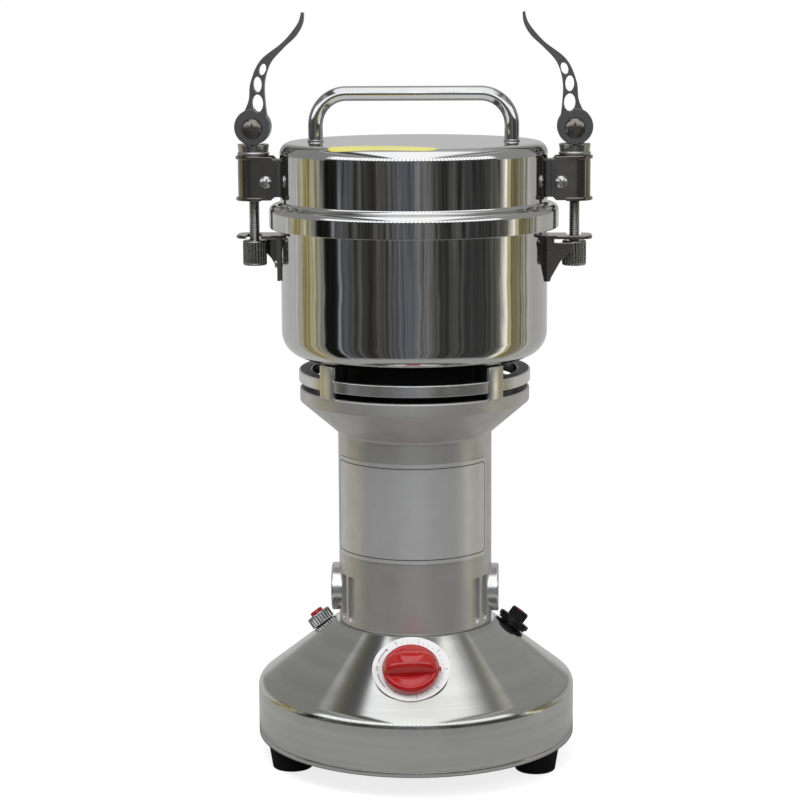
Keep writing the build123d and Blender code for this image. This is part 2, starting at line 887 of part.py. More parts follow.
# Fork bracket on the +X side, open towards +Y
def fork():
    slot_near, slot_far = bolt_reach - fork_slot, bolt_reach + fork_slot
    foot_end = bowl_radius + gusset_foot
    gusset_end = fork_reach - gusset_set
    root = bowl_radius - fork_closed
    with BuildPart() as body:
        add(slab([
            (root, -fork_closed),
            (fork_reach, -fork_closed, fork_round),
            (fork_reach, fork_open, fork_round),
            (slot_far, fork_open),
            (slot_far, -fork_slot, fork_slot - pin_fit),
            (slot_near, -fork_slot, fork_slot - pin_fit),
            (slot_near, fork_open),
            (root, fork_open),
        ], fork_low, fork_high))
        add(panel([
            (root, gusset_low),
            (foot_end, gusset_low),
            (bowl_radius + gusset_waist, gusset_low + gusset_waist_rise),
            (gusset_end, fork_low - gusset_drop, gusset_round),
            (gusset_end, fork_low - gusset_slot),
            (bowl_radius + gusset_neck, fork_low - gusset_slot),
            (bowl_radius + gusset_neck, fork_low + fork_thick / 2),
            (root, fork_low + fork_thick / 2),
        ], -fork_closed, -fork_closed + gusset_thick))
        low_turn = math.degrees(math.asin(fork_closed / (bowl_radius + back_plate)))
        high_turn = math.degrees(math.asin(fork_open / (bowl_radius + back_plate)))
        add(wedge(bowl_radius - bury, bowl_radius + back_plate, gusset_low, fork_low + fork_thick / 2,
                  -low_turn, high_turn))
        Cylinder(bowl_radius, 3 * through, mode=Mode.SUBTRACT)
        for angle in rivet_angles:
            with Locations(turn(angle)):
                with Locations(Location((bowl_radius, 0, rivet_z), (0, 90, 0))):
                    Cylinder(rivet_radius, 4 * back_plate, mode=Mode.SUBTRACT)
    return body.part


with BuildPart() as fork_right:
    add(fork())
with BuildPart() as fork_left:
    add(turn(180) * fork())

with BuildPart() as fork_rivets:
    rivet_start = bowl_inner - rivet_head_height
    rivet_end = bowl_radius + back_plate + pin_fit
    with Locations(*rivet_turns):
        with Locations(Location((rivet_start, 0, rivet_z), (0, 90, 0))):
            Cylinder(rivet_radius, rivet_end + rivet_head_height - rivet_start, align=rest)
        with Locations(Location((rivet_end, 0, rivet_z), (0, 90, 0))):
            Cylinder(rivet_head_radius, rivet_head_height, align=rest)

# Lid seal, lid and handle
with BuildPart() as lid_seal:
    add(tube(flange_radius - play, bowl_inner + play, bowl_top + play, seat_z - play))

with BuildPart() as lid:
    add(turned([
        (0, lid_top),
        (lid_radius, lid_top, lid_shoulder),
        (lid_radius, rim_high, rim_round),
        (rim_radius, rim_high, rim_round),
        (rim_radius, rim_low),
        (rim_radius - lid_wall, rim_low),
        (rim_radius - lid_wall, seat_z),
        (lid_radius - lid_wall, seat_z),
        (lid_radius - lid_wall, lid_ceiling, lid_shoulder - lid_wall),
        (0, lid_ceiling),
    ]))
    with Locations((handle_reach, 0, lid_top), (-handle_reach, 0, lid_top)):
        Cylinder(handle_screw_radius + play, 4 * lid_wall, mode=Mode.SUBTRACT)

rod_top = lid_top + handle_rise - handle_rod
handle_ends = [(-handle_reach, 0, lid_top), (handle_reach, 0, lid_top)]
with BuildPart() as lid_handle:
    with BuildLine(Plane.XZ) as handle_path:
        trace([
            (-handle_reach, lid_top),
            (-handle_reach, rod_top, handle_bend),
            (handle_reach, rod_top, handle_bend),
            (handle_reach, lid_top),
        ], closed=False)
    with BuildSketch(Plane(origin=handle_ends[0], z_dir=(0, 0, 1))):
        Circle(handle_rod)
    sweep(path=handle_path.line)
    with Locations(*handle_ends):
        Cylinder(handle_rod + handle_collar, handle_collar, align=rest)
    with Locations(*handle_ends):
        Cylinder(handle_screw_radius, handle_screw_grip + play, align=rest, mode=Mode.SUBTRACT)

with BuildPart() as handle_screws:
    head_low = lid_ceiling - handle_head_height
    for x, y, z in handle_ends:
        add(post(handle_screw_radius, lid_ceiling, lid_top + handle_screw_grip, x, y))
        add(post(handle_head_radius, head_low, lid_ceiling, x, y))
    with Locations(*at_height(handle_ends, head_low)):
        add(cross(handle_head_radius), mode=Mode.SUBTRACT)


# Strap outline round the bolt on the +X side
def strap(half, start):
    far = bolt_reach + half
    return [(start, -half), (far, -half, half - pin_fit), (far, half, half - pin_fit), (start, half)]


def clamp_housing():
    with BuildPart() as body:
        add(slab(strap(box_half, box_start), box_low, box_high))
        for low in (box_low, box_high - box_wall):
            add(slab(strap(box_half + box_lip, bolt_reach - lip_back), low, low + box_wall))
        add(slab(strap(box_half - box_wall, lid_radius - box_half), box_low + box_wall, box_high - box_wall),
            mode=Mode.SUBTRACT)
        with Locations((bolt_reach, 0, box_low)):
            Cylinder(bolt_radius + bolt_play, 4 * box_height, mode=Mode.SUBTRACT)
        with Locations(Location((ear_screw_reach, 0, ear_screw_z), (90, 0, 0))):
            Cylinder(ear_screw_radius, 4 * box_half, mode=Mode.SUBTRACT)
        for z, way in ((box_low, 1), (box_high, -1)):
            inside = z + way * box_corner
            add(panel([
                (box_start - bury, z), (box_start + box_corner, z), (box_start, inside), (box_start - bury, inside),
            ], -2 * box_half, 2 * box_half), mode=Mode.SUBTRACT)
    return body.part


with BuildPart() as clamp_housing_right:
    add(clamp_housing())
with BuildPart() as clamp_housing_left:
    add(turn(180) * clamp_housing())

with BuildPart() as clamp_ears:
    ear_start = lid_radius - box_half
    ear_end = bolt_reach - bolt_radius - ear_clear
    for side in (0, 180):
        with Locations(turn(side)):
            with Locations(((ear_start + ear_end) / 2, 0, (box_low + box_high) / 2)):
                Box(ear_end - ear_start, 2 * (box_half - box_wall), box_height - 2 * (box_wall + play))
    Cylinder(lid_radius, 3 * through, mode=Mode.SUBTRACT)
    with Locations(*[Location((s * ear_screw_reach, 0, ear_screw_z), (90, 0, 0)) for s in (-1, 1)]):
        Cylinder(ear_screw_radius, 4 * box_half, mode=Mode.SUBTRACT)

with BuildPart() as clamp_screws:
    for side in (-1, 1):
        x = side * ear_screw_reach
        with Locations(Location((x, 0, ear_screw_z), (90, 0, 0))):
            Cylinder(ear_screw_radius, 2 * (box_half + ear_nut_height))
        with Locations(Location((x, -box_half, ear_screw_z), (90, 0, 0))):
            Cylinder(ear_head_radius, ear_head_height, align=rest)
        with Locations(Location((x, box_half + ear_nut_height, ear_screw_z), (90, 0, 0))):
            Cylinder(ear_nut_radius, ear_nut_height, align=rest)
    face = -box_half - ear_nut_height
    with Locations(*[Location((s * ear_screw_reach, face, ear_screw_z), (90, 0, 0)) for s in (-1, 1)]):
        add(cross(ear_head_radius), mode=Mode.SUBTRACT)


# Saddle with a trough for the cam
def saddle():
    trough = cam_radius + trough_clear
    with BuildPart() as body:
        add(post(saddle_radius, box_high, saddle_seat + saddle_lip, bolt_reach, 0))
        with Locations(Location((bolt_reach, 0, saddle_seat + trough), (90, 0, 0))):
            Cylinder(trough, 4 * saddle_radius, mode=Mode.SUBTRACT)
        with Locations((bolt_reach, 0, box_high)):
            Cylinder(bolt_radius + bolt_play, 4 * saddle_radius, mode=Mode.SUBTRACT)
    return body.part


with BuildPart() as saddle_right:
    add(saddle())
with BuildPart() as saddle_left:
    add(turn(180) * saddle())


def draw_bolt():
    return post(bolt_radius, nut_low - bolt_past, hub_z + bolt_top, bolt_reach, 0)


def barrel_pin():
    pin_half = cheek_half + pin_past
    with BuildPart() as body:
        with Locations(Location((bolt_reach, 0, hub_z), (90, 0, 0))):
            Cylinder(pin_radius, 2 * pin_half)
        with Locations((bolt_reach, 0, hub_z + bolt_top)):
            Cylinder(bolt_radius, 4 * pin_radius, align=(Align.CENTER, Align.CENTER, Align.MAX), mode=Mode.SUBTRACT)
        for side in (-1, 1):
            with Locations(Location((bolt_reach, side * pin_half, hub_z), (90, 0, 0))):
                Cylinder(pin_recess_radius, 2 * pin_recess, mode=Mode.SUBTRACT)
    return body.part


def thumb_nut():
    with BuildPart() as body:
        add(turned([
            (bolt_radius + pin_fit, nut_low),
            (nut_radius, nut_low, nut_edge),
            (nut_radius, nut_high, nut_edge),
            (bolt_radius + pin_fit, nut_high),
        ]))
        with Locations(*[turn(a * 360 / flute_count) for a in range(flute_count)]):
            with Locations(Location((nut_radius, 0, (nut_low + nut_high) / 2), (0, 0, 45))):
                Box(flute, flute, nut_height - 6 * nut_edge, mode=Mode.SUBTRACT)
    return Location((bolt_reach, 0, 0)) * body.part


with BuildPart() as draw_bolt_right:
    add(draw_bolt())
with BuildPart() as draw_bolt_left:
    add(turn(180) * draw_bolt())
with BuildPart() as barrel_pin_right:
    add(barrel_pin())
with BuildPart() as barrel_pin_left:
    add(turn(180) * barrel_pin())
with BuildPart() as thumb_nut_right:
    add(thumb_nut())
with BuildPart() as thumb_nut_left:
    add(turn(180) * thumb_nut())

# Lever edges and holes measured from the hub, as shares of its length: inward, up
lever_outer = [
    (-0.090, 0.109), (-0.030, 0.240), (-0.010, 0.400), (0.078, 0.588), (0.273, 0.743), (0.403, 0.897), (0.437, 1.0),
]
lever_inner = [
    (0.458, 0.992), (0.446, 0.897), (0.386, 0.794), (0.276, 0.691), (0.150, 0.560), (0.102, 0.390), (0.112, 0.210),
    (0.125, 0.101),
]
lever_holes = [(0.046, 0.217, 0.044, 0.071, 0), (0.049, 0.380, 0.037, 0.066, 0), (0.094, 0.509, 0.031, 0.052, -20)]


# Cam lever on the +X side, mirrored for the other
def cam_lever():
    def spot(inward, up):
        return (bolt_reach - inward * lever_length, hub_z + up * lever_length)

    side = 2 * cam_radius
    way_out = math.radians(35.0)
    with BuildPart() as body:
        with BuildSketch(Plane.XZ):
            with BuildLine():
                Spline(*[spot(*p) for p in lever_outer])
                Line(spot(*lever_outer[-1]), spot(*lever_inner[0]))
                Spline(*[spot(*p) for p in lever_inner])
                Line(spot(*lever_inner[-1]), spot(*lever_outer[0]))
            make_face()
            for inward, up, wide, tall, lean in lever_holes:
                with Locations(Location((*spot(inward, up), 0), (0, 0, -lean))):
                    Ellipse(wide * lever_length, tall * lever_length, mode=Mode.SUBTRACT)
        extrude(amount=lever_half, both=True)
        with BuildSketch(Plane.XZ):
            with Locations((bolt_reach, hub_z + cam_offset)):
                Circle(cam_radius)
        extrude(amount=cheek_half, both=True)
        with Locations(Location((bolt_reach, 0, hub_z), (90, 0, 0))):
            Cylinder(pin_radius + pin_fit, 4 * cheek_half, mode=Mode.SUBTRACT)
        with BuildSketch(Plane.XZ):
            with BuildLine():
                trace([
                    (bolt_reach, hub_z),
                    (bolt_reach, hub_z - side),
                    (bolt_reach + side, hub_z - side),
                    (bolt_reach + side, hub_z + side * math.tan(way_out)),
                ])
            make_face()
            with Locations((bolt_reach, hub_z - side / 2)):
                Rectangle(2 * (bolt_radius + cheek_clear), side)
            middle = (bolt_reach + side / 2 * math.cos(way_out), hub_z + side / 2 * math.sin(way_out), 0)
            with Locations(Location(middle, (0, 0, math.degrees(way_out)))):
                Rectangle(side, 2 * (bolt_radius + cheek_clear))
        extrude(amount=bolt_radius + cheek_clear, both=True, mode=Mode.SUBTRACT)
    return body.part


with BuildPart() as cam_lever_right:
    add(cam_lever())
with BuildPart() as cam_lever_left:
    add(cam_lever().mirror(Plane.YZ))

# Timer with its dial and knob
with BuildPart() as timer_body:
    bore = spindle_radius + pin_fit
    well = -spindle_depth - 2 * timer_rise
    add(on_cone(timer_plane, [
        (0, -timer_depth),
        (timer_radius, -timer_depth, timer_rise),
        (timer_radius, -timer_step),
        (timer_neck, -timer_step),
        (timer_neck, timer_rise),
        (bore, timer_rise),
        (bore, well),
        (0, well),
    ]))

# Flat dial that rests on the cone along one line, a little above the spindle
with BuildPart() as dial_shape:
    add(post(dial_radius, 0, dial_thick, 0, dial_rise))
    add(post(timer_neck + 2 * play, -dial_thick, 2 * dial_thick), mode=Mode.SUBTRACT)
with BuildPart() as dial_plate:
    add(timer_plane.location * dial_shape.part)

with BuildPart() as grip_shape:
    grip_reach = knob_radius - knob_edge
    with BuildSketch(Plane.XZ):
        with BuildLine():
            Line((-grip_reach, knob_gap + knob_edge), (grip_reach, knob_gap + knob_edge))
            Line((grip_reach, knob_gap + knob_edge), (grip_reach, grip_end))
            ThreePointArc((grip_reach, grip_end), (0, knob_height), (-grip_reach, grip_end))
            Line((-grip_reach, grip_end), (-grip_reach, knob_gap + knob_edge))
        make_face()
    extrude(amount=grip_half, both=True)
    fillet(grip_shape.edges().filter_by(GeomType.CIRCLE), grip_round)
    add(post(knob_radius, 0, 2 * knob_height), mode=Mode.INTERSECT)
with BuildPart() as knob_shape:
    add(turned([
        (0, -spindle_depth),
        (spindle_radius, -spindle_depth),
        (spindle_radius, knob_gap),
        (grip_reach, knob_gap),
        (knob_radius, knob_gap + knob_edge),
        (knob_radius, knob_skirt, knob_round),
        (knob_radius - 2 * knob_round, knob_deck),
        (0, knob_deck),
    ]))
    add(grip_shape.part)
with BuildPart() as timer_knob:
    add(timer_plane.location * knob_shape.part)

# Reset breaker
button_bore = button_radius + button_gap
with BuildPart() as breaker:
    with Locations((0, 0, -breaker_depth)):
        Box(breaker_width, breaker_width, breaker_depth - breaker_drop, align=rest)
    add(post(reset_neck, -breaker_drop - bury, reset_rise))
    add(post(button_bore, -button_well, 2 * reset_rise), mode=Mode.SUBTRACT)
with BuildPart() as reset_body:
    add(reset_plane.location * breaker.part)

with BuildPart() as knurled:
    add(turned([
        (reset_neck, bezel_gap),
        (bezel_radius, bezel_gap),
        (bezel_radius, bezel_height, bezel_round),
        (button_bore, bezel_height),
        (button_bore, reset_rise),
        (reset_neck, reset_rise),
    ]))
    with Locations(*[turn(a * 360 / bezel_flute_count) for a in range(bezel_flute_count)]):
        with Locations(Location((bezel_radius, 0, bezel_height / 2), (0, 0, 45))):
            Box(flute, flute, bezel_height - 2 * bezel_round, mode=Mode.SUBTRACT)
with BuildPart() as reset_bezel:
    add(reset_plane.location * knurled.part)

with BuildPart() as reset_button:
    add(on_cone(reset_plane, [
        (0, -button_depth),
        (button_radius, -button_depth),
        (button_radius, button_height, button_round),
        (0, button_height),
    ]))

# Fuse holder with a quarter-turn cap
with BuildPart() as fuse_holder:
    step = fuse_flange - fuse_undercut
    add(on_cone(fuse_plane, [
        (0, -fuse_depth),
        (fuse_radius, -fuse_depth, fuse_undercut),
        (fuse_radius, fuse_flange_low),
        (step, fuse_flange_low),
        (step, fuse_flange_step),
        (fuse_flange, fuse_flange_step),
        (fuse_flange, fuse_flange_high, fuse_flange_low),
        (fuse_bore, fuse_flange_high),
        (fuse_bore, fuse_floor - fuse_depth),
        (0, fuse_floor - fuse_depth),
    ]))

with BuildPart() as cap_shape:
    plug = fuse_bore - play
    cap_low = fuse_flange_high + fuse_gap
    add(turned([
        (0, -fuse_floor),
        (plug, -fuse_floor),
        (plug, cap_low),
        (fuse_cap_radius, cap_low),
        (fuse_cap_radius, fuse_cap_height, fuse_cap_round),
        (0, fuse_cap_height),
    ]))
    with Locations((0, 0, fuse_cap_height)):
        Box(1.5 * fuse_cap_radius, fuse_slot_width, 2 * fuse_slot_depth, mode=Mode.SUBTRACT)
with BuildPart() as fuse_cap:
    add(fuse_plane.location * cap_shape.part)

# Grommet that grips the skirt sheet at the back
grommet_out = skirt_radius + grommet_proud
with BuildPart() as inner_lip:
    with Locations(Location((0, grommet_out, grommet_z), (90, 0, 0))):
        Cylinder(grommet_lip, grommet_proud + grommet_depth, align=rest)
    Cylinder(inner_skirt, through, mode=Mode.INTERSECT)
with BuildPart() as outer_lip:
    with Locations(Location((0, grommet_out, grommet_z), (90, 0, 0))):
        Cylinder(grommet_lip, grommet_depth, align=rest)
    Cylinder(skirt_radius, through, mode=Mode.SUBTRACT)
with BuildPart() as inlet_grommet:
    add(inner_lip.part)
    add(outer_lip.part)
    with Locations(Location((0, grommet_out, grommet_z), (90, 0, 0))):
        Cylinder(grommet_neck, grommet_proud + grommet_depth, align=rest)
    with Locations(Location((0, skirt_radius, grommet_z), (90, 0, 0))):
        Cylinder(grommet_bore, 6 * grommet_depth, mode=Mode.SUBTRACT)

pieces = {
    "base_cover": base_cover, "base_plate": base_plate, "foot_left": foot_left, "foot_right": foot_right,
    "foot_rear": foot_rear, "foot_screws": foot_screws, "housing_screws": housing_screws,
    "motor_housing": motor_housing, "rating_plate": rating_plate, "brush_cap_left": brush_cap_left,
    "brush_cap_right": brush_cap_right, "brush_holders": brush_holders, "carbon_brushes": carbon_brushes,
    "stator_core": stator_core, "field_coils": field_coils, "lower_end_bell": lower_end_bell,
    "upper_end_bell": upper_end_bell, "motor_bearings": motor_bearings, "rotor_shaft": rotor_shaft,
    "armature_core": armature_core, "armature_windings": armature_windings, "commutator": commutator,
    "cooling_fan": cooling_fan, "lower_blade": lower_blade, "upper_blade": upper_blade,
    "blade_spacers": blade_spacers, "blade_nut": blade_nut, "bowl": bowl, "shaft_seal": shaft_seal,
    "bowl_screws": bowl_screws, "fork_left": fork_left, "fork_right": fork_right, "fork_rivets": fork_rivets,
    "lid_seal": lid_seal, "lid": lid, "lid_handle": lid_handle, "handle_screws": handle_screws,
    "clamp_housing_left": clamp_housing_left, "clamp_housing_right": clamp_housing_right,
    "clamp_ears": clamp_ears, "clamp_screws": clamp_screws, "saddle_left": saddle_left,
    "saddle_right": saddle_right, "draw_bolt_left": draw_bolt_left, "draw_bolt_right": draw_bolt_right,
    "barrel_pin_left": barrel_pin_left, "barrel_pin_right": barrel_pin_right,
    "thumb_nut_left": thumb_nut_left, "thumb_nut_right": thumb_nut_right,
    "cam_lever_left": cam_lever_left, "cam_lever_right": cam_lever_right, "timer_body": timer_body,
    "dial_plate": dial_plate, "timer_knob": timer_knob, "reset_body": reset_body,
    "reset_bezel": reset_bezel, "reset_button": reset_button, "fuse_holder": fuse_holder,
    "fuse_cap": fuse_cap, "inlet_grommet": inlet_grommet,
}
for name, piece in pieces.items():
    piece.part.label = name
    export_step(piece.part, f"parts/{name}.step")
print(len(pieces), "pieces written")
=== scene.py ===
# Electric grinder for Blender 4.5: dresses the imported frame, lights it and sets the camera
import json
import math

import bmesh
import bpy
from mathutils import Matrix, Vector


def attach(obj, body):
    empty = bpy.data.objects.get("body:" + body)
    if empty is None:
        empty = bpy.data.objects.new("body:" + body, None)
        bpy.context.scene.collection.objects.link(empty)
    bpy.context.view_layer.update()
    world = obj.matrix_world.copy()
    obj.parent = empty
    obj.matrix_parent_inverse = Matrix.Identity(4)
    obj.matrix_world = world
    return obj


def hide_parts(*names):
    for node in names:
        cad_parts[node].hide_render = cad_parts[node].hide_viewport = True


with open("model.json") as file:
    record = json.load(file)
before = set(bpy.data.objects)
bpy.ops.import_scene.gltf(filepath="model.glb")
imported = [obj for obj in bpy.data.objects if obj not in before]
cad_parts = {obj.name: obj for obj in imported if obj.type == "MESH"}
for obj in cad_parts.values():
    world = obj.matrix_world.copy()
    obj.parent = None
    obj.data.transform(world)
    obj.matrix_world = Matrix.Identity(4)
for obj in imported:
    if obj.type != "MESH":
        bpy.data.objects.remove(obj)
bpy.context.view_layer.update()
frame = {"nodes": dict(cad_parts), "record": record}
scene = bpy.context.scene
nodes = frame["nodes"]
mm = 0.001  # sizes below are in millimetres, as in the part's source
bodyOf = {node: body for body, names in frame["record"]["behaviour"]["bodies"].items() for node in names}
print("frame loaded,", len(nodes), "nodes")


# shader helpers
def feed(tree, socket, value):
    if isinstance(value, bpy.types.NodeSocket):
        tree.links.new(value, socket)
    else:
        socket.default_value = value


def calc(tree, kind, first, second=0.0):
    node = tree.nodes.new("ShaderNodeMath")
    node.operation = kind
    feed(tree, node.inputs[0], first)
    feed(tree, node.inputs[1], second)
    return node.outputs[0]


def times(tree, first, second):
    return calc(tree, "MULTIPLY", first, second)


def spread(tree, value, low, high, fromLow=0.3, fromHigh=0.7):
    node = tree.nodes.new("ShaderNodeMapRange")
    feed(tree, node.inputs["Value"], value)
    node.inputs["From Min"].default_value = fromLow
    node.inputs["From Max"].default_value = fromHigh
    feed(tree, node.inputs["To Min"], low)
    feed(tree, node.inputs["To Max"], high)
    return node.outputs["Result"]


def blendColour(tree, share, first, second):
    node = tree.nodes.new("ShaderNodeMix")
    node.data_type = "RGBA"
    feed(tree, node.inputs[0], share)
    feed(tree, node.inputs[6], first)
    feed(tree, node.inputs[7], second)
    return node.outputs[2]


def cloud(tree, vector, scale, detail=3.0, rough=0.55):
    node = tree.nodes.new("ShaderNodeTexNoise")
    feed(tree, node.inputs["Vector"], vector)
    feed(tree, node.inputs["Scale"], scale)
    node.inputs["Detail"].default_value = detail
    node.inputs["Roughness"].default_value = rough
    return node.outputs["Fac"]


# the object's own coordinates, whole and then as x, y and z
def placeOf(tree):
    point = tree.nodes.new("ShaderNodeTexCoord").outputs["Object"]
    split = tree.nodes.new("ShaderNodeSeparateXYZ")
    tree.links.new(point, split.inputs[0])
    return point, *split.outputs


def joined(tree, x, y, z):
    node = tree.nodes.new("ShaderNodeCombineXYZ")
    for socket, value in zip(node.inputs, (x, y, z)):
        feed(tree, socket, value)
    return node.outputs[0]


def newGroup(name, takes, gives):
    group = bpy.data.node_groups.new(name, "ShaderNodeTree")
    for label, value in takes:
        socket = group.interface.new_socket(label, in_out="INPUT", socket_type="NodeSocketFloat")
        socket.default_value = value
    for label in gives:
        group.interface.new_socket(label, in_out="OUTPUT", socket_type="NodeSocketFloat")
    return group, group.nodes.new("NodeGroupInput").outputs, group.nodes.new("NodeGroupOutput").inputs


# fine lines left by turning or spinning about the shaft
turnedLines, takes, gives = newGroup("turnedLines", [("Fineness", 2500.0), ("Along", 3.0)],
                                     ["Lines", "Bands"])
point, x, y, z = placeOf(turnedLines)
square = calc(turnedLines, "ADD", times(turnedLines, x, x), times(turnedLines, y, y))
across = calc(turnedLines, "POWER", square, 0.5)
angle = calc(turnedLines, "ARCTAN2", y, x)
spot = joined(turnedLines, times(turnedLines, angle, takes["Along"]),
              times(turnedLines, across, takes["Fineness"]), times(turnedLines, z, takes["Fineness"]))
feed(turnedLines, gives["Lines"], cloud(turnedLines, spot, 1.0, 4.0, 0.7))
feed(turnedLines, gives["Bands"], cloud(turnedLines, spot, 0.06, 2.0))

# finger marks and cloudy polish
handMarks, takes, gives = newGroup("handMarks", [("Scale", 30.0)], ["Marks", "Haze"])
point = placeOf(handMarks)[0]
feed(handMarks, gives["Haze"], cloud(handMarks, point, takes["Scale"], 5.0, 0.6))
feed(handMarks, gives["Marks"], cloud(handMarks, point, times(handMarks, takes["Scale"], 9.0), 6.0, 0.75))

# pitted skin of castings, rubber and moulded plastic
skinGrain, takes, gives = newGroup("skinGrain", [("Scale", 900.0)], ["Grain", "Patches"])
point = placeOf(skinGrain)[0]
feed(skinGrain, gives["Grain"], cloud(skinGrain, point, takes["Scale"], 5.0, 0.65))
feed(skinGrain, gives["Patches"], cloud(skinGrain, point, times(skinGrain, takes["Scale"], 0.04)))


def useGroup(tree, group, **values):
    node = tree.nodes.new("ShaderNodeGroup")
    node.node_tree = group
    for label, value in values.items():
        node.inputs[label].default_value = value
    return node.outputs


finishes = {}


# one finish from a dictionary: colour, second colour, roughness range and what marks its surface
def makeFinish(name, look):
    material = bpy.data.materials.new(name)
    material.use_nodes = True
    tree = material.node_tree
    shader = tree.nodes["Principled BSDF"]
    shader.inputs["Metallic"].default_value = look.get("metallic", 0.0)
    for label, value in look.get("sockets", {}).items():
        shader.inputs[label].default_value = value
    if look["marks"] == "turned":
        lines = useGroup(tree, turnedLines, Fineness=look["fine"], Along=look["along"])
        haze = useGroup(tree, handMarks, Scale=look.get("haze", 30.0))
        mask = calc(tree, "ADD", times(tree, lines["Bands"], 0.6), times(tree, haze["Haze"], 0.4))
        height = lines["Lines"]
    elif look["marks"] == "polished":
        haze = useGroup(tree, handMarks, Scale=look["haze"])
        mask = haze["Haze"]
        height = haze["Marks"]
    else:
        grain = useGroup(tree, skinGrain, Scale=look["fine"])
        mask = grain["Patches"]
        height = grain["Grain"]
    paint = blendColour(tree, spread(tree, mask, 0.0, 1.0), (*look["colour"], 1.0), (*look["shade"], 1.0))
    tree.links.new(paint, shader.inputs["Base Color"])
    tree.links.new(spread(tree, mask, *look["rough"]), shader.inputs["Roughness"])
    bump = tree.nodes.new("ShaderNodeBump")
    bump.inputs["Strength"].default_value = look["bump"]
    bump.inputs["Distance"].default_value = look["depth"]
    tree.links.new(height, bump.inputs["Height"])
    tree.links.new(bump.outputs[0], shader.inputs["Normal"])
    if "brushed" in look:
        shader.inputs["Anisotropic"].default_value = look["brushed"]
        shader.inputs["Anisotropic Rotation"].default_value = 0.25  # light spreads across the turned lines
        around = tree.nodes.new("ShaderNodeTangent")
        around.direction_type = "RADIAL"
        around.axis = "Z"
        tree.links.new(around.outputs[0], shader.inputs["Tangent"])
    finishes[name] = material


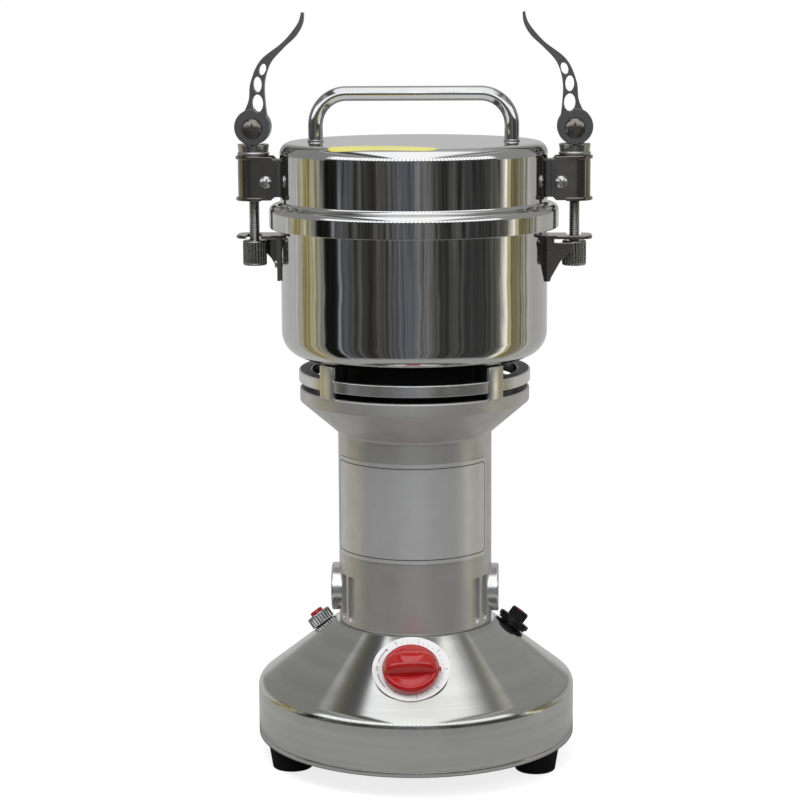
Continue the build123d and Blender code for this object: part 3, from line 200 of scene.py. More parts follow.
# colours, depth of the marks in metres; fine, along and haze set the size of the marks
finishBook = {
    "mirrorSteel": {"colour": (0.60, 0.60, 0.59), "shade": (0.55, 0.55, 0.55), "metallic": 1.0,
                    "rough": (0.025, 0.055), "marks": "turned", "fine": 3200.0, "along": 2.0, "haze": 22.0,
                    "bump": 0.05, "depth": 0.00003},
    "handleSteel": {"colour": (0.58, 0.58, 0.57), "shade": (0.50, 0.50, 0.50), "metallic": 1.0,
                    "rough": (0.05, 0.11), "marks": "polished", "haze": 60.0, "bump": 0.03, "depth": 0.00003},
    "spunSteel": {"colour": (0.60, 0.60, 0.57), "shade": (0.48, 0.48, 0.46), "metallic": 1.0,
                  "rough": (0.10, 0.145), "marks": "turned", "fine": 2600.0, "along": 4.0, "haze": 16.0,
                  "bump": 0.10, "depth": 0.00004, "brushed": 0.9},
    "clampSteel": {"colour": (0.15, 0.15, 0.15), "shade": (0.12, 0.12, 0.12), "metallic": 0.85,
                   "rough": (0.28, 0.38), "marks": "polished", "haze": 70.0, "bump": 0.06, "depth": 0.00005},
    "brownSteel": {"colour": (0.27, 0.252, 0.222), "shade": (0.20, 0.187, 0.167), "metallic": 0.95,
                   "rough": (0.08, 0.15), "marks": "polished", "haze": 80.0, "bump": 0.08, "depth": 0.00005},
    "pinSteel": {"colour": (0.27, 0.255, 0.23), "shade": (0.13, 0.12, 0.105), "metallic": 0.95,
                 "rough": (0.14, 0.26), "marks": "polished", "haze": 160.0, "bump": 0.06, "depth": 0.00005},
    "screwSteel": {"colour": (0.46, 0.46, 0.44), "shade": (0.34, 0.34, 0.32), "metallic": 1.0,
                   "rough": (0.18, 0.30), "marks": "polished", "haze": 160.0, "bump": 0.10, "depth": 0.00006},
    "brightScrew": {"colour": (0.66, 0.66, 0.65), "shade": (0.50, 0.50, 0.49), "metallic": 1.0,
                    "rough": (0.12, 0.26), "marks": "polished", "haze": 190.0, "bump": 0.08,
                    "depth": 0.00005},
    "castAluminium": {"colour": (0.575, 0.567, 0.55), "shade": (0.52, 0.515, 0.50), "metallic": 0.8,
                      "rough": (0.34, 0.44), "marks": "grain", "fine": 2600.0, "bump": 0.16,
                      "depth": 0.00012},
    "machinedRing": {"colour": (0.72, 0.72, 0.70), "shade": (0.62, 0.62, 0.61), "metallic": 0.9,
                     "rough": (0.16, 0.26), "marks": "turned", "fine": 2200.0, "along": 3.0,
                     "bump": 0.12, "depth": 0.00006},
    "labelFoil": {"colour": (0.66, 0.66, 0.66), "shade": (0.62, 0.62, 0.62), "metallic": 0.65,
                  "rough": (0.34, 0.42), "marks": "grain", "fine": 4200.0, "bump": 0.05, "depth": 0.00003},
    "blackRubber": {"colour": (0.006, 0.006, 0.006), "shade": (0.010, 0.010, 0.010),
                    "rough": (0.50, 0.66), "marks": "grain", "fine": 1800.0, "bump": 0.25, "depth": 0.00015,
                    "sockets": {"Specular IOR Level": 0.12}},
    "blackPlastic": {"colour": (0.006, 0.006, 0.0065), "shade": (0.010, 0.010, 0.0105),
                     "rough": (0.30, 0.42), "marks": "grain", "fine": 2400.0, "bump": 0.12, "depth": 0.00008,
                     "sockets": {"Specular IOR Level": 0.22}},
    "redPlastic": {"colour": (0.44, 0.008, 0.009), "shade": (0.38, 0.006, 0.007),
                   "rough": (0.11, 0.19), "marks": "grain", "fine": 1400.0, "bump": 0.03, "depth": 0.00005,
                   "sockets": {"Coat Weight": 0.5, "Coat Roughness": 0.08}},
    "dialWhite": {"colour": (0.82, 0.82, 0.82), "shade": (0.76, 0.77, 0.78),
                  "rough": (0.25, 0.36), "marks": "grain", "fine": 1500.0, "bump": 0.02, "depth": 0.00003},
    "printInk": {"colour": (0.03, 0.03, 0.032), "shade": (0.05, 0.05, 0.052),
                 "rough": (0.4, 0.5), "marks": "grain", "fine": 2500.0, "bump": 0.02, "depth": 0.00002},
    "yellowPaper": {"colour": (0.66, 0.62, 0.16), "shade": (0.60, 0.56, 0.14),
                    "rough": (0.32, 0.42), "marks": "grain", "fine": 1800.0, "bump": 0.04, "depth": 0.00003},
    "silicone": {"colour": (0.70, 0.70, 0.68), "shade": (0.62, 0.62, 0.60),
                 "rough": (0.42, 0.55), "marks": "grain", "fine": 1200.0, "bump": 0.06, "depth": 0.00005},
    "copperWire": {"colour": (0.50, 0.19, 0.07), "shade": (0.34, 0.12, 0.05), "metallic": 0.9,
                   "rough": (0.3, 0.45), "marks": "turned", "fine": 1500.0, "along": 2.0,
                   "bump": 0.5, "depth": 0.0003},
    "coreSteel": {"colour": (0.16, 0.16, 0.17), "shade": (0.11, 0.11, 0.12), "metallic": 0.8,
                  "rough": (0.4, 0.55), "marks": "turned", "fine": 1800.0, "along": 1.0,
                  "bump": 0.3, "depth": 0.0002},
    "brassTube": {"colour": (0.60, 0.42, 0.14), "shade": (0.48, 0.33, 0.11), "metallic": 1.0,
                  "rough": (0.25, 0.38), "marks": "polished", "haze": 120.0, "bump": 0.06, "depth": 0.00005},
    "carbonBlock": {"colour": (0.03, 0.03, 0.03), "shade": (0.045, 0.045, 0.045),
                    "rough": (0.5, 0.65), "marks": "grain", "fine": 3000.0, "bump": 0.2, "depth": 0.0001},
    "groundSteel": {"colour": (0.62, 0.62, 0.61), "shade": (0.50, 0.50, 0.50), "metallic": 1.0,
                    "rough": (0.2, 0.32), "marks": "polished", "haze": 140.0, "bump": 0.12, "depth": 0.00006},
}
for name, look in finishBook.items():
    makeFinish(name, look)
print("finishes made,", len(finishes))


# mesh helpers
def move(x, y, z):
    return Matrix.Translation((x * mm, y * mm, z * mm))


def spin(turn):
    return Matrix.Rotation(math.radians(turn), 4, "Z")


def polar(radius, a):
    return (radius * math.cos(a), radius * math.sin(a))


layOnSide = Matrix.Rotation(math.pi / 2, 4, "X")  # XY outline to XZ, its Z becomes -Y
pointOut = Matrix.Rotation(math.pi / 2, 4, "Y")  # Z becomes X


def roundLine(points, closed=True, step=9.0):
    out = []  # a third number rounds that corner
    count = len(points)
    for i, spot in enumerate(points):
        corner = Vector(spot[:2])
        if len(spot) < 3 or (not closed and i in (0, count - 1)):
            out.append(tuple(spot[:2]))
            continue
        before = Vector(points[i - 1][:2]) - corner
        after = Vector(points[(i + 1) % count][:2]) - corner
        before.normalize()
        after.normalize()
        half = before.angle(after) / 2
        back = spot[2] / math.tan(half)
        middle = corner + (before + after).normalized() * (spot[2] / math.sin(half))
        first = corner + before * back - middle
        last = corner + after * back - middle
        sweep = first.angle_signed(last)
        steps = max(2, int(abs(math.degrees(sweep)) / step))
        for k in range(steps + 1):
            turn = Matrix.Rotation(-sweep * k / steps, 2)
            out.append(tuple(middle + turn @ first))
    return out


def meshFrom(name, verts, faces):
    mesh = bpy.data.meshes.new(name)
    mesh.from_pydata([Vector(v) * mm for v in verts], [], faces)
    work = bmesh.new()
    work.from_mesh(mesh)
    bmesh.ops.remove_doubles(work, verts=work.verts, dist=1e-7)
    bmesh.ops.dissolve_degenerate(work, edges=work.edges, dist=1e-8)
    bmesh.ops.recalc_face_normals(work, faces=work.faces)
    work.to_mesh(mesh)
    work.free()
    return mesh


# quads between the rows of a grid of points, which may close on itself either way
def gridFaces(rows, columns, roundRows=False, roundColumns=True):
    faces = []
    for j in range(rows if roundRows else rows - 1):
        here = j * columns
        following = (j + 1) % rows * columns
        for k in range(columns if roundColumns else columns - 1):
            m = (k + 1) % columns
            faces.append((here + k, following + k, following + m, here + m))
    return faces


# points beside the ends of long lines keep their faces flat next to rounded corners
def guarded(points, guard=0.15):
    out = []
    for i, (x, y) in enumerate(points):
        following = points[(i + 1) % len(points)]
        out.append((x, y))
        share = guard / max(guard, math.dist((x, y), following))
        if share < 0.05:
            out += [(x + (following[0] - x) * t, y + (following[1] - y) * t) for t in (share, 1 - share)]
    return out


# turned about Z; flutes is count, depth, low and high
def lathe(name, line, sides=160, flutes=None):
    points = guarded(roundLine(line))
    outer = max(p[0] for p in points)
    verts = []
    for k in range(sides):
        a = 2 * math.pi * k / sides
        for r, z in points:
            if flutes and r > outer - 0.02 and flutes[2] <= z <= flutes[3]:
                r -= flutes[1] * abs(math.sin(flutes[0] * a / 2)) ** 0.6
            verts.append((*polar(r, a), z))
    return meshFrom(name, verts, gridFaces(sides, len(points), roundRows=True))


# round cutter about Z
def punch(radius, half, sides):
    return lathe("punch", [(0, -half), (radius, -half), (radius, half), (0, half)], sides)


# mesh of a curve or text, which is used up
def meshOf(data):
    holder = bpy.data.objects.new("holder", data)
    scene.collection.objects.link(holder)
    bpy.context.view_layer.update()
    mesh = bpy.data.meshes.new_from_object(holder.evaluated_get(bpy.context.evaluated_depsgraph_get()))
    bpy.data.objects.remove(holder)
    bpy.data.curves.remove(data)
    return mesh


# flat plate from outlines in the XY plane, the first is the edge and the others are holes
def plate(name, outlines, low, high, edge=0.3):
    curve = bpy.data.curves.new(name, "CURVE")
    curve.dimensions = "2D"
    curve.fill_mode = "BOTH"
    curve.extrude = ((high - low) / 2 - edge) * mm
    curve.bevel_depth = edge * mm
    curve.bevel_resolution = 0
    curve.offset = -edge * mm
    for outline in outlines:
        spline = curve.splines.new("POLY")
        spline.points.add(len(outline) - 1)
        for spot, (x, y) in zip(spline.points, outline):
            spot.co = (x * mm, y * mm, 0, 1)
        spline.use_cyclic_u = True
    mesh = meshOf(curve)
    mesh.transform(move(0, 0, (low + high) / 2))
    work = bmesh.new()
    work.from_mesh(mesh)
    bmesh.ops.remove_doubles(work, verts=work.verts, dist=1e-6)
    bmesh.ops.recalc_face_normals(work, faces=work.faces)
    work.to_mesh(mesh)
    work.free()
    mesh.name = name
    return mesh


def block(name, low, high, edge=0.4, segments=3):
    work = bmesh.new()
    bmesh.ops.create_cube(work, size=1.0)
    for v in work.verts:
        v.co = Vector([(a + b) / 2 + c * (b - a) for a, b, c in zip(low, high, v.co)]) * mm
    bmesh.ops.bevel(work, geom=work.edges[:], offset=edge * mm, segments=segments, profile=0.5,
                    affect="EDGES")
    mesh = bpy.data.meshes.new(name)
    work.to_mesh(mesh)
    work.free()
    return mesh


# cutters for a cross recess in a screw end at height z
def crossBars(z, reach, half, deep):
    return [block("bar", (-x, -y, z - deep), (x, y, z + deep), 0.05, 1)
            for x, y in ((reach, half), (half, reach))]


def ring(x, y, radius, sides=40):
    return [(x + radius * math.cos(2 * math.pi * k / sides), y + radius * math.sin(2 * math.pi * k / sides))
            for k in range(sides)]


def oval(x, y, wide, tall, lean=0.0, sides=36):
    c, s = math.cos(lean), math.sin(lean)
    return [(x + wide * a * c - tall * b * s, y + wide * a * s + tall * b * c)
            for a, b in ring(0, 0, 1.0, sides)]


# smooth line through points
def flow(points, steps=6):
    out = []
    for i in range(len(points) - 1):
        p = [Vector(points[max(0, min(len(points) - 1, i + d))]) for d in (-1, 0, 1, 2)]
        for k in range(steps):
            t = k / steps
            square = (2 * p[0] - 5 * p[1] + 4 * p[2] - p[3]) * t ** 2
            cube = (3 * p[1] - p[0] - 3 * p[2] + p[3]) * t ** 3
            out.append(tuple(0.5 * (2 * p[1] + (p[2] - p[0]) * t + square + cube)))
    return out + [tuple(points[-1])]


def merge(name, meshes):
    work = bmesh.new()
    for mesh in meshes:
        work.from_mesh(mesh)
    out = bpy.data.meshes.new(name)
    work.to_mesh(out)
    work.free()
    return out


def cutAway(mesh, cutters):
    target = bpy.data.objects.new("cutTarget", mesh)
    scene.collection.objects.link(target)
    tools = []
    for cutter in cutters:
        tool = bpy.data.objects.new("cutTool", cutter)
        scene.collection.objects.link(tool)
        change = target.modifiers.new("cut", "BOOLEAN")
        change.operation = "DIFFERENCE"
        change.solver = "EXACT"
        change.object = tool
        tools.append(tool)
    bpy.context.view_layer.update()
    out = bpy.data.meshes.new_from_object(target.evaluated_get(bpy.context.evaluated_depsgraph_get()))
    for spare in [target, *tools]:
        bpy.data.objects.remove(spare)
    return out


def turnedTo(mesh, matrix):
    copy = mesh.copy()
    copy.transform(matrix)
    return copy


# a finished piece: it stands for its node, or rides on a body of its own choice
def addPiece(name, mesh, finish, node=None, body=None, smooth=32.0):
    piece = bpy.data.objects.new(name, mesh)
    scene.collection.objects.link(piece)
    mesh.polygons.foreach_set("use_smooth", [True] * len(mesh.polygons))
    mesh.set_sharp_from_angle(angle=math.radians(smooth))
    mesh.materials.clear()
    mesh.materials.append(finishes[finish])
    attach(piece, body or bodyOf[node])
    if node and not body:
        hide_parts(node)
    return piece


# both sides of a clamp piece, modelled on the +X side
def addPair(name, mesh, finish, nodeStem, smooth=32.0):
    addPiece(name + "Right", mesh, finish, nodeStem + "_right", smooth=smooth)
    addPiece(name + "Left", turnedTo(mesh, spin(180.0)), finish, nodeStem + "_left", smooth=smooth)


def thicken(piece, thickness, offset):
    change = piece.modifiers.new("thickness", "SOLIDIFY")
    change.thickness = thickness * mm
    change.offset = offset


# bowl and lid
bowl = {"radius": 60.0, "bottom": 186.5, "top": 251.2, "corner": 11.0, "wall": 1.5, "flange": 62.8,
        "lip": 1.5, "neck": 9.1, "sides": 224}


def makeBowl(b):
    inner = b["radius"] - b["wall"]
    floor = b["bottom"] + b["wall"]
    under = b["top"] - b["lip"]
    shape = lathe("bowlShell", [
        (b["neck"], b["bottom"]), (b["radius"], b["bottom"], b["corner"]), (b["radius"], under, 0.6),
        (b["flange"], under, 0.5), (b["flange"], b["top"], 0.6), (inner, b["top"], 0.8),
        (inner, floor, b["corner"] - b["wall"]), (b["neck"], floor)], b["sides"])
    addPiece("bowlShell", shape, "mirrorSteel", "bowl")


lid = {"radius": bowl["radius"], "top": 282.5, "shoulder": 5.0, "wall": 1.5, "rim": 65.0,
       "rimHigh": 254.9, "rimLow": 244.6, "rimRound": 3.0, "seat": 253.4, "sides": 224}


def makeLid(b):
    inner = b["radius"] - b["wall"]
    lip = b["rim"] - b["wall"]
    under = b["top"] - b["wall"]
    shape = lathe("lidShell", [
        (0, b["top"]), (b["radius"], b["top"], b["shoulder"]), (b["radius"], b["rimHigh"], 1.8),
        (b["rim"], b["rimHigh"], b["rimRound"]), (b["rim"], b["rimLow"], 0.5), (lip, b["rimLow"], 0.3),
        (lip, b["seat"]), (inner, b["seat"]), (inner, under, b["shoulder"] - b["wall"]), (0, under)],
        b["sides"])
    addPiece("lidShell", shape, "mirrorSteel", "lid")


# lies on the lid and bends down over its shoulder; back and front are its two depths
sticker = {"x": -11.2, "y": -49.8, "half": 23.8, "skew": -4.2, "back": 16.5, "front": 6.2, "lift": 0.06,
           "thick": 0.04, "rings": 16, "sides": 96}


def makeSticker(b):
    flat = lid["radius"] - lid["shoulder"]
    level = lid["top"] + b["lift"] - lid["shoulder"]
    verts = []
    for j in range(b["rings"] + 1):
        for c, s in ring(0, 0, max(j, 0.01) / b["rings"], b["sides"]):
            x = b["x"] + b["half"] * c
            y = b["y"] + b["skew"] * c + s * (b["back"] if s > 0 else b["front"])
            past = max(0.0, math.hypot(x, y) - flat)
            verts.append((x, y, level + math.sqrt(lid["shoulder"] ** 2 - past ** 2)))
    faces = gridFaces(b["rings"] + 1, b["sides"])
    faces.append(tuple(range(b["sides"])))
    shape = meshFrom("ovalSticker", verts, faces)
    piece = addPiece("ovalSticker", shape, "yellowPaper", body="lid")
    thicken(piece, b["thick"], 0.0)


handle = {"reach": 43.9, "rod": 3.3, "low": lid["top"], "top": 303.8, "bend": 14.0, "weld": 0.4,
          "weldHigh": 0.9, "sides": 40}


def makeHandle(b):
    path = roundLine([(-b["reach"], b["low"]), (-b["reach"], b["top"], b["bend"]),
                      (b["reach"], b["top"], b["bend"]), (b["reach"], b["low"])], closed=False, step=4.0)
    verts = []
    for i, (x, z) in enumerate(path):
        before = path[max(0, i - 1)]
        after = path[min(len(path) - 1, i + 1)]
        along = (Vector(after) - Vector(before)).normalized()
        for out, y in ring(0, 0, b["rod"], b["sides"]):
            verts.append((x - along.y * out, y, z + along.x * out))
    faces = gridFaces(len(path), b["sides"])
    faces.append(tuple(range(b["sides"])))
    faces.append(tuple(range(len(verts) - b["sides"], len(verts))))
    parts = [meshFrom("rod", verts, faces)]
    foot = b["rod"] + b["weld"]
    high = b["low"] + b["weldHigh"]
    weld = lathe("weld", [(0, b["low"]), (foot, b["low"]), (foot, high - 0.3, 0.2), (b["rod"] - 0.05, high),
                          (0, high)], 48)
    parts += [turnedTo(weld, move(side * b["reach"], 0, 0)) for side in (-1, 1)]
    addPiece("handleRod", merge("handleRod", parts), "handleSteel", "lid_handle")


makeBowl(bowl)
makeLid(lid)
makeSticker(sticker)
makeHandle(handle)
print("bowl, lid and handle made")

# base cover with a turned hem, and its feet
base = {"skirt": 73.0, "bottom": 10.2, "corner": 35.0, "round": 5.6, "coneRadius": 36.5, "coneTop": 63.5,
        "sheet": 1.2, "opening": 26.5, "hem": 2.4, "groove": 0.25, "grooveDeep": 0.10, "timerHole": 4.8,
        "resetHole": 5.0, "fuseHole": 5.6, "inletHole": 5.0, "inletHigh": 22.6, "through": 6.0,
        "sides": 224}
slope = math.atan2(base["coneTop"] - base["corner"], base["skirt"] - base["coneRadius"])


def coneHeight(radius):
    return base["coneTop"] - (radius - base["coneRadius"]) * math.tan(slope)


# frame on the cone with its Z pointing out of it
def conePlane(turn, share):
    a = math.radians(turn)
    radius = base["coneRadius"] + share * (base["skirt"] - base["coneRadius"])
    out = Vector((math.sin(slope) * math.cos(a), math.sin(slope) * math.sin(a), math.cos(slope)))
    along = Vector((-math.sin(a), math.cos(a), 0))
    matrix = Matrix((along, out.cross(along), out)).transposed().to_4x4()
    matrix.translation = Vector((*polar(radius, a), coneHeight(radius))) * mm
    return matrix


# degrees about the shaft, and share of the way down the cone
timerPlane = conePlane(-90.0, 0.4247)
resetPlane = conePlane(165.0, 0.2329)
fusePlane = conePlane(15.0, 0.2466)


def makeBase(b):
    inner = b["skirt"] - b["sheet"]
    inset = b["sheet"] / math.cos(slope)
    innerTop = b["coneRadius"] - (inset - b["sheet"]) / math.tan(slope)
    hemTop = b["bottom"] + b["hem"]
    under = b["coneTop"] - b["sheet"]
    shape = lathe("baseShell", [
        (b["skirt"], b["bottom"], 0.4), (b["skirt"], hemTop - b["groove"]),
        (b["skirt"] - b["grooveDeep"], hemTop), (b["skirt"], hemTop + b["groove"]),
        (b["skirt"], b["corner"], b["round"]), (b["coneRadius"], b["coneTop"], 0.5),
        (b["opening"], b["coneTop"]), (b["opening"], under), (innerTop, under),
        (inner, coneHeight(inner) - inset, b["round"] - b["sheet"]), (inner, b["bottom"])], b["sides"])
    spots = ((timerPlane, "timerHole"), (resetPlane, "resetHole"), (fusePlane, "fuseHole"),
             (move(0, b["skirt"], b["inletHigh"]) @ layOnSide, "inletHole"))
    holes = [turnedTo(punch(b[hole], b["through"], 32), plane) for plane, hole in spots]
    addPiece("baseShell", cutAway(shape, holes), "spunSteel", "base_cover", smooth=24.0)


foot = {"circle": 62.0, "radius": 10.6, "taper": 1.6, "shoulder": 10.1, "seat": 9.4, "height": 11.0,
        "well": 4.6, "wellHigh": 5.0, "bore": 2.2}


def makeFeet(b):
    shape = lathe("rubberFoot", [
        (b["bore"], b["wellHigh"]), (b["well"], b["wellHigh"]), (b["well"], 0.3), (b["well"] + 0.3, 0),
        (b["radius"] - b["taper"], 0, 0.8), (b["radius"], b["shoulder"], 0.5), (b["seat"], b["shoulder"]),
        (b["seat"], b["height"]), (b["bore"], b["height"])], 72)
    for node, turn in (("foot_left", -153.0), ("foot_right", -27.0), ("foot_rear", 90.0)):
        spot = move(*polar(b["circle"], math.radians(turn)), 0)
        addPiece("rubberFoot_" + node, turnedTo(shape, spot), "blackRubber", node)


makeBase(base)
makeFeet(foot)
print("base and feet made")

# motor housing: one casting with recessed slots, a turned ring and four posts
# shade is the thickness of the black rings that paint shade into the vent gaps
housing = {"tube": 35.0, "inner": 31.5, "low": base["coneTop"], "seat": 27.0, "seatHigh": 3.0,
           "funnel": 151.4, "wall": 1.5, "collar": 52.1, "collarLow": 166.2, "collarHigh": 172.1,
           "collarInner": 45.5, "ring": 52.5, "ringInner": 46.5, "ringLow": 174.9, "ringHigh": 180.2,
           "bowl": bowl["bottom"], "postOuter": 53.1, "postFace": 2.5, "postDepth": 9.6,
           "postWidth": 8.5, "postGrip": 0.5, "bossInset": 0.3, "posts": (45, 135, 225, 315),
           "slotWidth": 5.5, "slotLow": 66.7, "slotHeight": 20.0, "slotDepth": 1.6, "slotCorner": 0.9,
           "slotTurns": (54, 66), "ballRise": 1.0, "shade": 0.12}


def makeCasting(b):
    tube = lathe("castTube", [
        (b["seat"], b["low"]), (b["tube"], b["low"], 0.4), (b["tube"], b["funnel"], 3.0),
        (b["collar"], b["collarLow"], 1.0), (b["collar"], b["collarHigh"], 0.8),
        (b["collarInner"], b["collarHigh"]), (b["collarInner"], b["collarLow"] - b["wall"], 2.0),
        (b["inner"], b["funnel"] - b["wall"]), (b["inner"], b["low"] + b["seatHigh"]),
        (b["seat"], b["low"] + b["seatHigh"])], 192)
    half = b["slotWidth"] / 2
    long = b["slotHeight"] / 2
    corners = [(x, y, b["slotCorner"])
               for x, y in ((-long, -half), (long, -half), (long, half), (-long, half))]
    pocket = plate("slot", [roundLine(corners, step=15.0)], 0.0, 8.0, 0.01)
    arc = [math.pi * k / 12 for k in range(13)]  # a ball rounds the lower end of each pocket
    ball = lathe("ball", [(half * math.sin(a), half * math.cos(a)) for a in arc], 24)
    floor = b["tube"] - b["slotDepth"]
    lift = move(floor, 0, b["slotLow"] + long) @ pointOut
    sink = move(floor + half, 0, b["slotLow"] + b["ballRise"])
    turns = [side + way * lean for side in (-90, 90) for lean in b["slotTurns"] for way in (-1, 1)]
    cutters = [turnedTo(tool, spin(turn) @ spot)
               for tool, spot in ((pocket, lift), (ball, sink)) for turn in turns]
    addPiece("castHousing", cutAway(tube, cutters), "castAluminium", "motor_housing", smooth=30.0)


def makeVentRing(b):
    belt = lathe("ventRing", [(b["ringInner"], b["ringLow"], 0.4), (b["ring"], b["ringLow"], 0.5),
                              (b["ring"], b["ringHigh"], 0.5), (b["ringInner"], b["ringHigh"], 0.4)], 192)
    addPiece("ventRing", belt, "machinedRing", "motor_housing", body="base")
    # thin black rings laid on the collar top and the ring top are painted shade in the vent gaps, not parts
    tops = ((b["collarInner"] + 0.2, b["collar"] - 0.9, b["collarHigh"]),
            (b["ringInner"] + 0.5, b["ring"] - 0.7, b["ringHigh"]))
    shades = [lathe("shade", [(near, z), (far, z), (far, z + b["shade"]), (near, z + b["shade"])], 96)
              for near, far, z in tops]
    addPiece("paintedVentShade", merge("paintedVentShade", shades), "blackPlastic", "motor_housing", body="base")
    face = b["postOuter"] - b["postFace"]
    half = b["postWidth"] / 2
    slim = half - b["bossInset"]
    low = b["collarHigh"] - b["postGrip"]
    post = block("post", (face, -half, low), (b["postOuter"], half, b["bowl"]), 0.5)
    # the posts' inner bosses belong to the aluminium casting; their black finish is painted shade on their
    # sides
    boss = block("boss", (b["postOuter"] - b["postDepth"], -slim, low),
                 (face + b["bossInset"], slim, b["bowl"]), 0.4)
    for name, shape, finish in (("ventPosts", post, "machinedRing"), ("paintedShadeBosses", boss, "blackPlastic")):
        four = [turnedTo(shape, spin(turn)) for turn in b["posts"]]
        addPiece(name, merge(name, four), finish, "motor_housing", body="base")


cap = {"radius": 11.0, "start": 31.0, "reach": 38.4, "height": 77.7, "rim": 1.6, "groove": 0.35,
       "sunk": 0.05, "slotHalf": 0.9, "slotReach": 6.0, "slotDeep": 1.0}


def makeBrushCaps(b):
    face = b["reach"] - b["sunk"]
    shape = lathe("brushCap", [
        (0, b["start"]), (b["radius"], b["start"]), (b["radius"], b["reach"], 0.9),
        (b["radius"] - b["rim"], b["reach"], 0.2), (b["radius"] - b["rim"] - 0.3, b["reach"] - b["groove"]),
        (b["radius"] - b["rim"] - 0.6, face), (0, face)], 72)
    slot = block("slot", (-b["slotHalf"], -b["slotReach"], b["reach"] - b["slotDeep"]),
                 (b["slotHalf"], b["slotReach"], b["reach"] + b["slotDeep"]), 0.05, 1)
    shape = turnedTo(cutAway(shape, [slot]), move(0, 0, b["height"]) @ pointOut)
    addPair("brushCap", shape, "machinedRing", "brush_cap")


label = {"radius": 35.1, "thick": 0.35, "foil": 0.3, "low": 96.6, "high": 141.8, "half": 71.0, "turn": -3.2,
         "corner": 3.0, "border": 1.7, "line": 0.42, "ink": 0.03, "columns": 72}


def facingOut(mesh):
    first = mesh.polygons[0]
    if first.normal.x * first.center.x + first.normal.y * first.center.y < 0:
        mesh.flip_normals()
    return mesh


# rounded patch wrapped on the tube; a line width turns it into a frame
def wrapped(name, b, inset, radius, line=None):
    width = math.radians(b["half"]) * b["radius"] - inset
    tall = (b["high"] - b["low"]) / 2 - inset
    middle = (b["high"] + b["low"]) / 2
    corner = max(0.4, b["corner"] - inset * 0.4)
    corners = [(x, z, corner) for x, z in ((-width, -tall), (width, -tall), (width, tall), (-width, tall))]
    outline = roundLine(corners, step=7.0)
    verts = []

    def bend(x, z):
        a = x / b["radius"] + math.radians(b["turn"] - 90.0)
        return (*polar(radius, a), middle + z)

    if line is None:
        rows = sorted({round(z, 4) for x, z in outline})
        for row in rows:
            reach = max(x for x, z in outline if abs(z - row) < 1e-3)
            verts += [bend(reach * (2 * k / b["columns"] - 1), row) for k in range(b["columns"] + 1)]
        faces = gridFaces(len(rows), b["columns"] + 1, roundColumns=False)
    else:
        count = 0
        for (x, z), (nextX, nextZ) in zip(outline, outline[1:] + outline[:1]):
            parts = max(1, int(math.dist((x, z), (nextX, nextZ)) / 1.5))
            for k in range(parts):
                u, v = x + (nextX - x) * k / parts, z + (nextZ - z) * k / parts
                verts += [bend(u, v), bend(u * (width - line) / width, v * (tall - line) / tall)]
            count += parts
        faces = gridFaces(count, 2, roundRows=True, roundColumns=False)
    return facingOut(meshFrom(name, verts, faces))


def makeLabel(b):
    outside = b["radius"] + b["thick"]
    foil = wrapped("ratingFoil", b, 0.0, outside)
    thicken(addPiece("ratingFoil", foil, "labelFoil", "rating_plate"), b["foil"], -1.0)
    frameLine = wrapped("labelBorder", b, b["border"], outside + b["ink"], b["line"])
    addPiece("labelBorder", frameLine, "printInk", "rating_plate", body="base")


makeCasting(housing)
makeVentRing(housing)
makeBrushCaps(cap)
makeLabel(label)
print("housing made")

# clamps, each modelled on the +X side about its draw bolt
boltAt = 72.0
clampBox = {"start": 61.6, "half": 7.1, "wall": 1.5, "low": 256.3, "high": 276.3, "lip": 1.0,
            "lipBack": 68.0, "corner": 2.4, "hole": 2.9}


def strap(half, start):
    far = boltAt + half
    return roundLine([(start, -half), (far, -half, half - 0.05), (far, half, half - 0.05), (start, half)],
                     step=6.0)


def makeClampBoxes(b):
    outer = strap(b["half"], b["start"])
    inner = strap(b["half"] - b["wall"], b["start"])
    wall = plate("clampWall", [outer + inner[::-1]], b["low"] + 0.3, b["high"] - 0.3, 0.2)
    past = 2.0  # cutters reach this far outside the wall
    corners = []
    for z, way in ((b["low"], 1), (b["high"], -1)):
        wedge = [(b["start"] - past, z - way * past), (b["start"] + b["corner"] + past, z - way * past),
                 (b["start"] - past, z + way * (b["corner"] + past))]
        corners.append(turnedTo(plate("corner", [wedge], -12, 12, 0.01), layOnSide))
    parts = [cutAway(wall, corners)]
    rim = strap(b["half"] + b["lip"], b["lipBack"])
    for low in (b["low"], b["high"] - b["wall"]):
        parts.append(plate("clampLip", [rim, ring(boltAt, 0, b["hole"])], low, low + b["wall"], 0.3))
    addPair("clampBox", merge("clampBox", parts), "brownSteel", "clamp_housing")


saddle = {"radius": 7.2, "bore": clampBox["hole"], "low": clampBox["high"], "step": 1.2, "waist": 0.5,
          "high": 281.5, "trough": 9.5, "troughHigh": 290.3}


def makeSaddles(b):
    ledge = b["low"] + b["step"]
    shape = lathe("saddle", [
        (b["bore"], b["low"]), (b["radius"], b["low"], 0.4), (b["radius"], ledge, 0.2),
        (b["radius"] - b["waist"], ledge + 0.5, 0.2), (b["radius"] - 0.1, b["high"], 0.4),
        (b["bore"], b["high"])], 64)
    shape.transform(move(boltAt, 0, 0))
    groove = turnedTo(punch(b["trough"], 20.0, 120), move(boltAt, 0, b["troughHigh"]) @ layOnSide)
    addPair("saddle", cutAway(shape, [groove]), "screwSteel", "saddle")


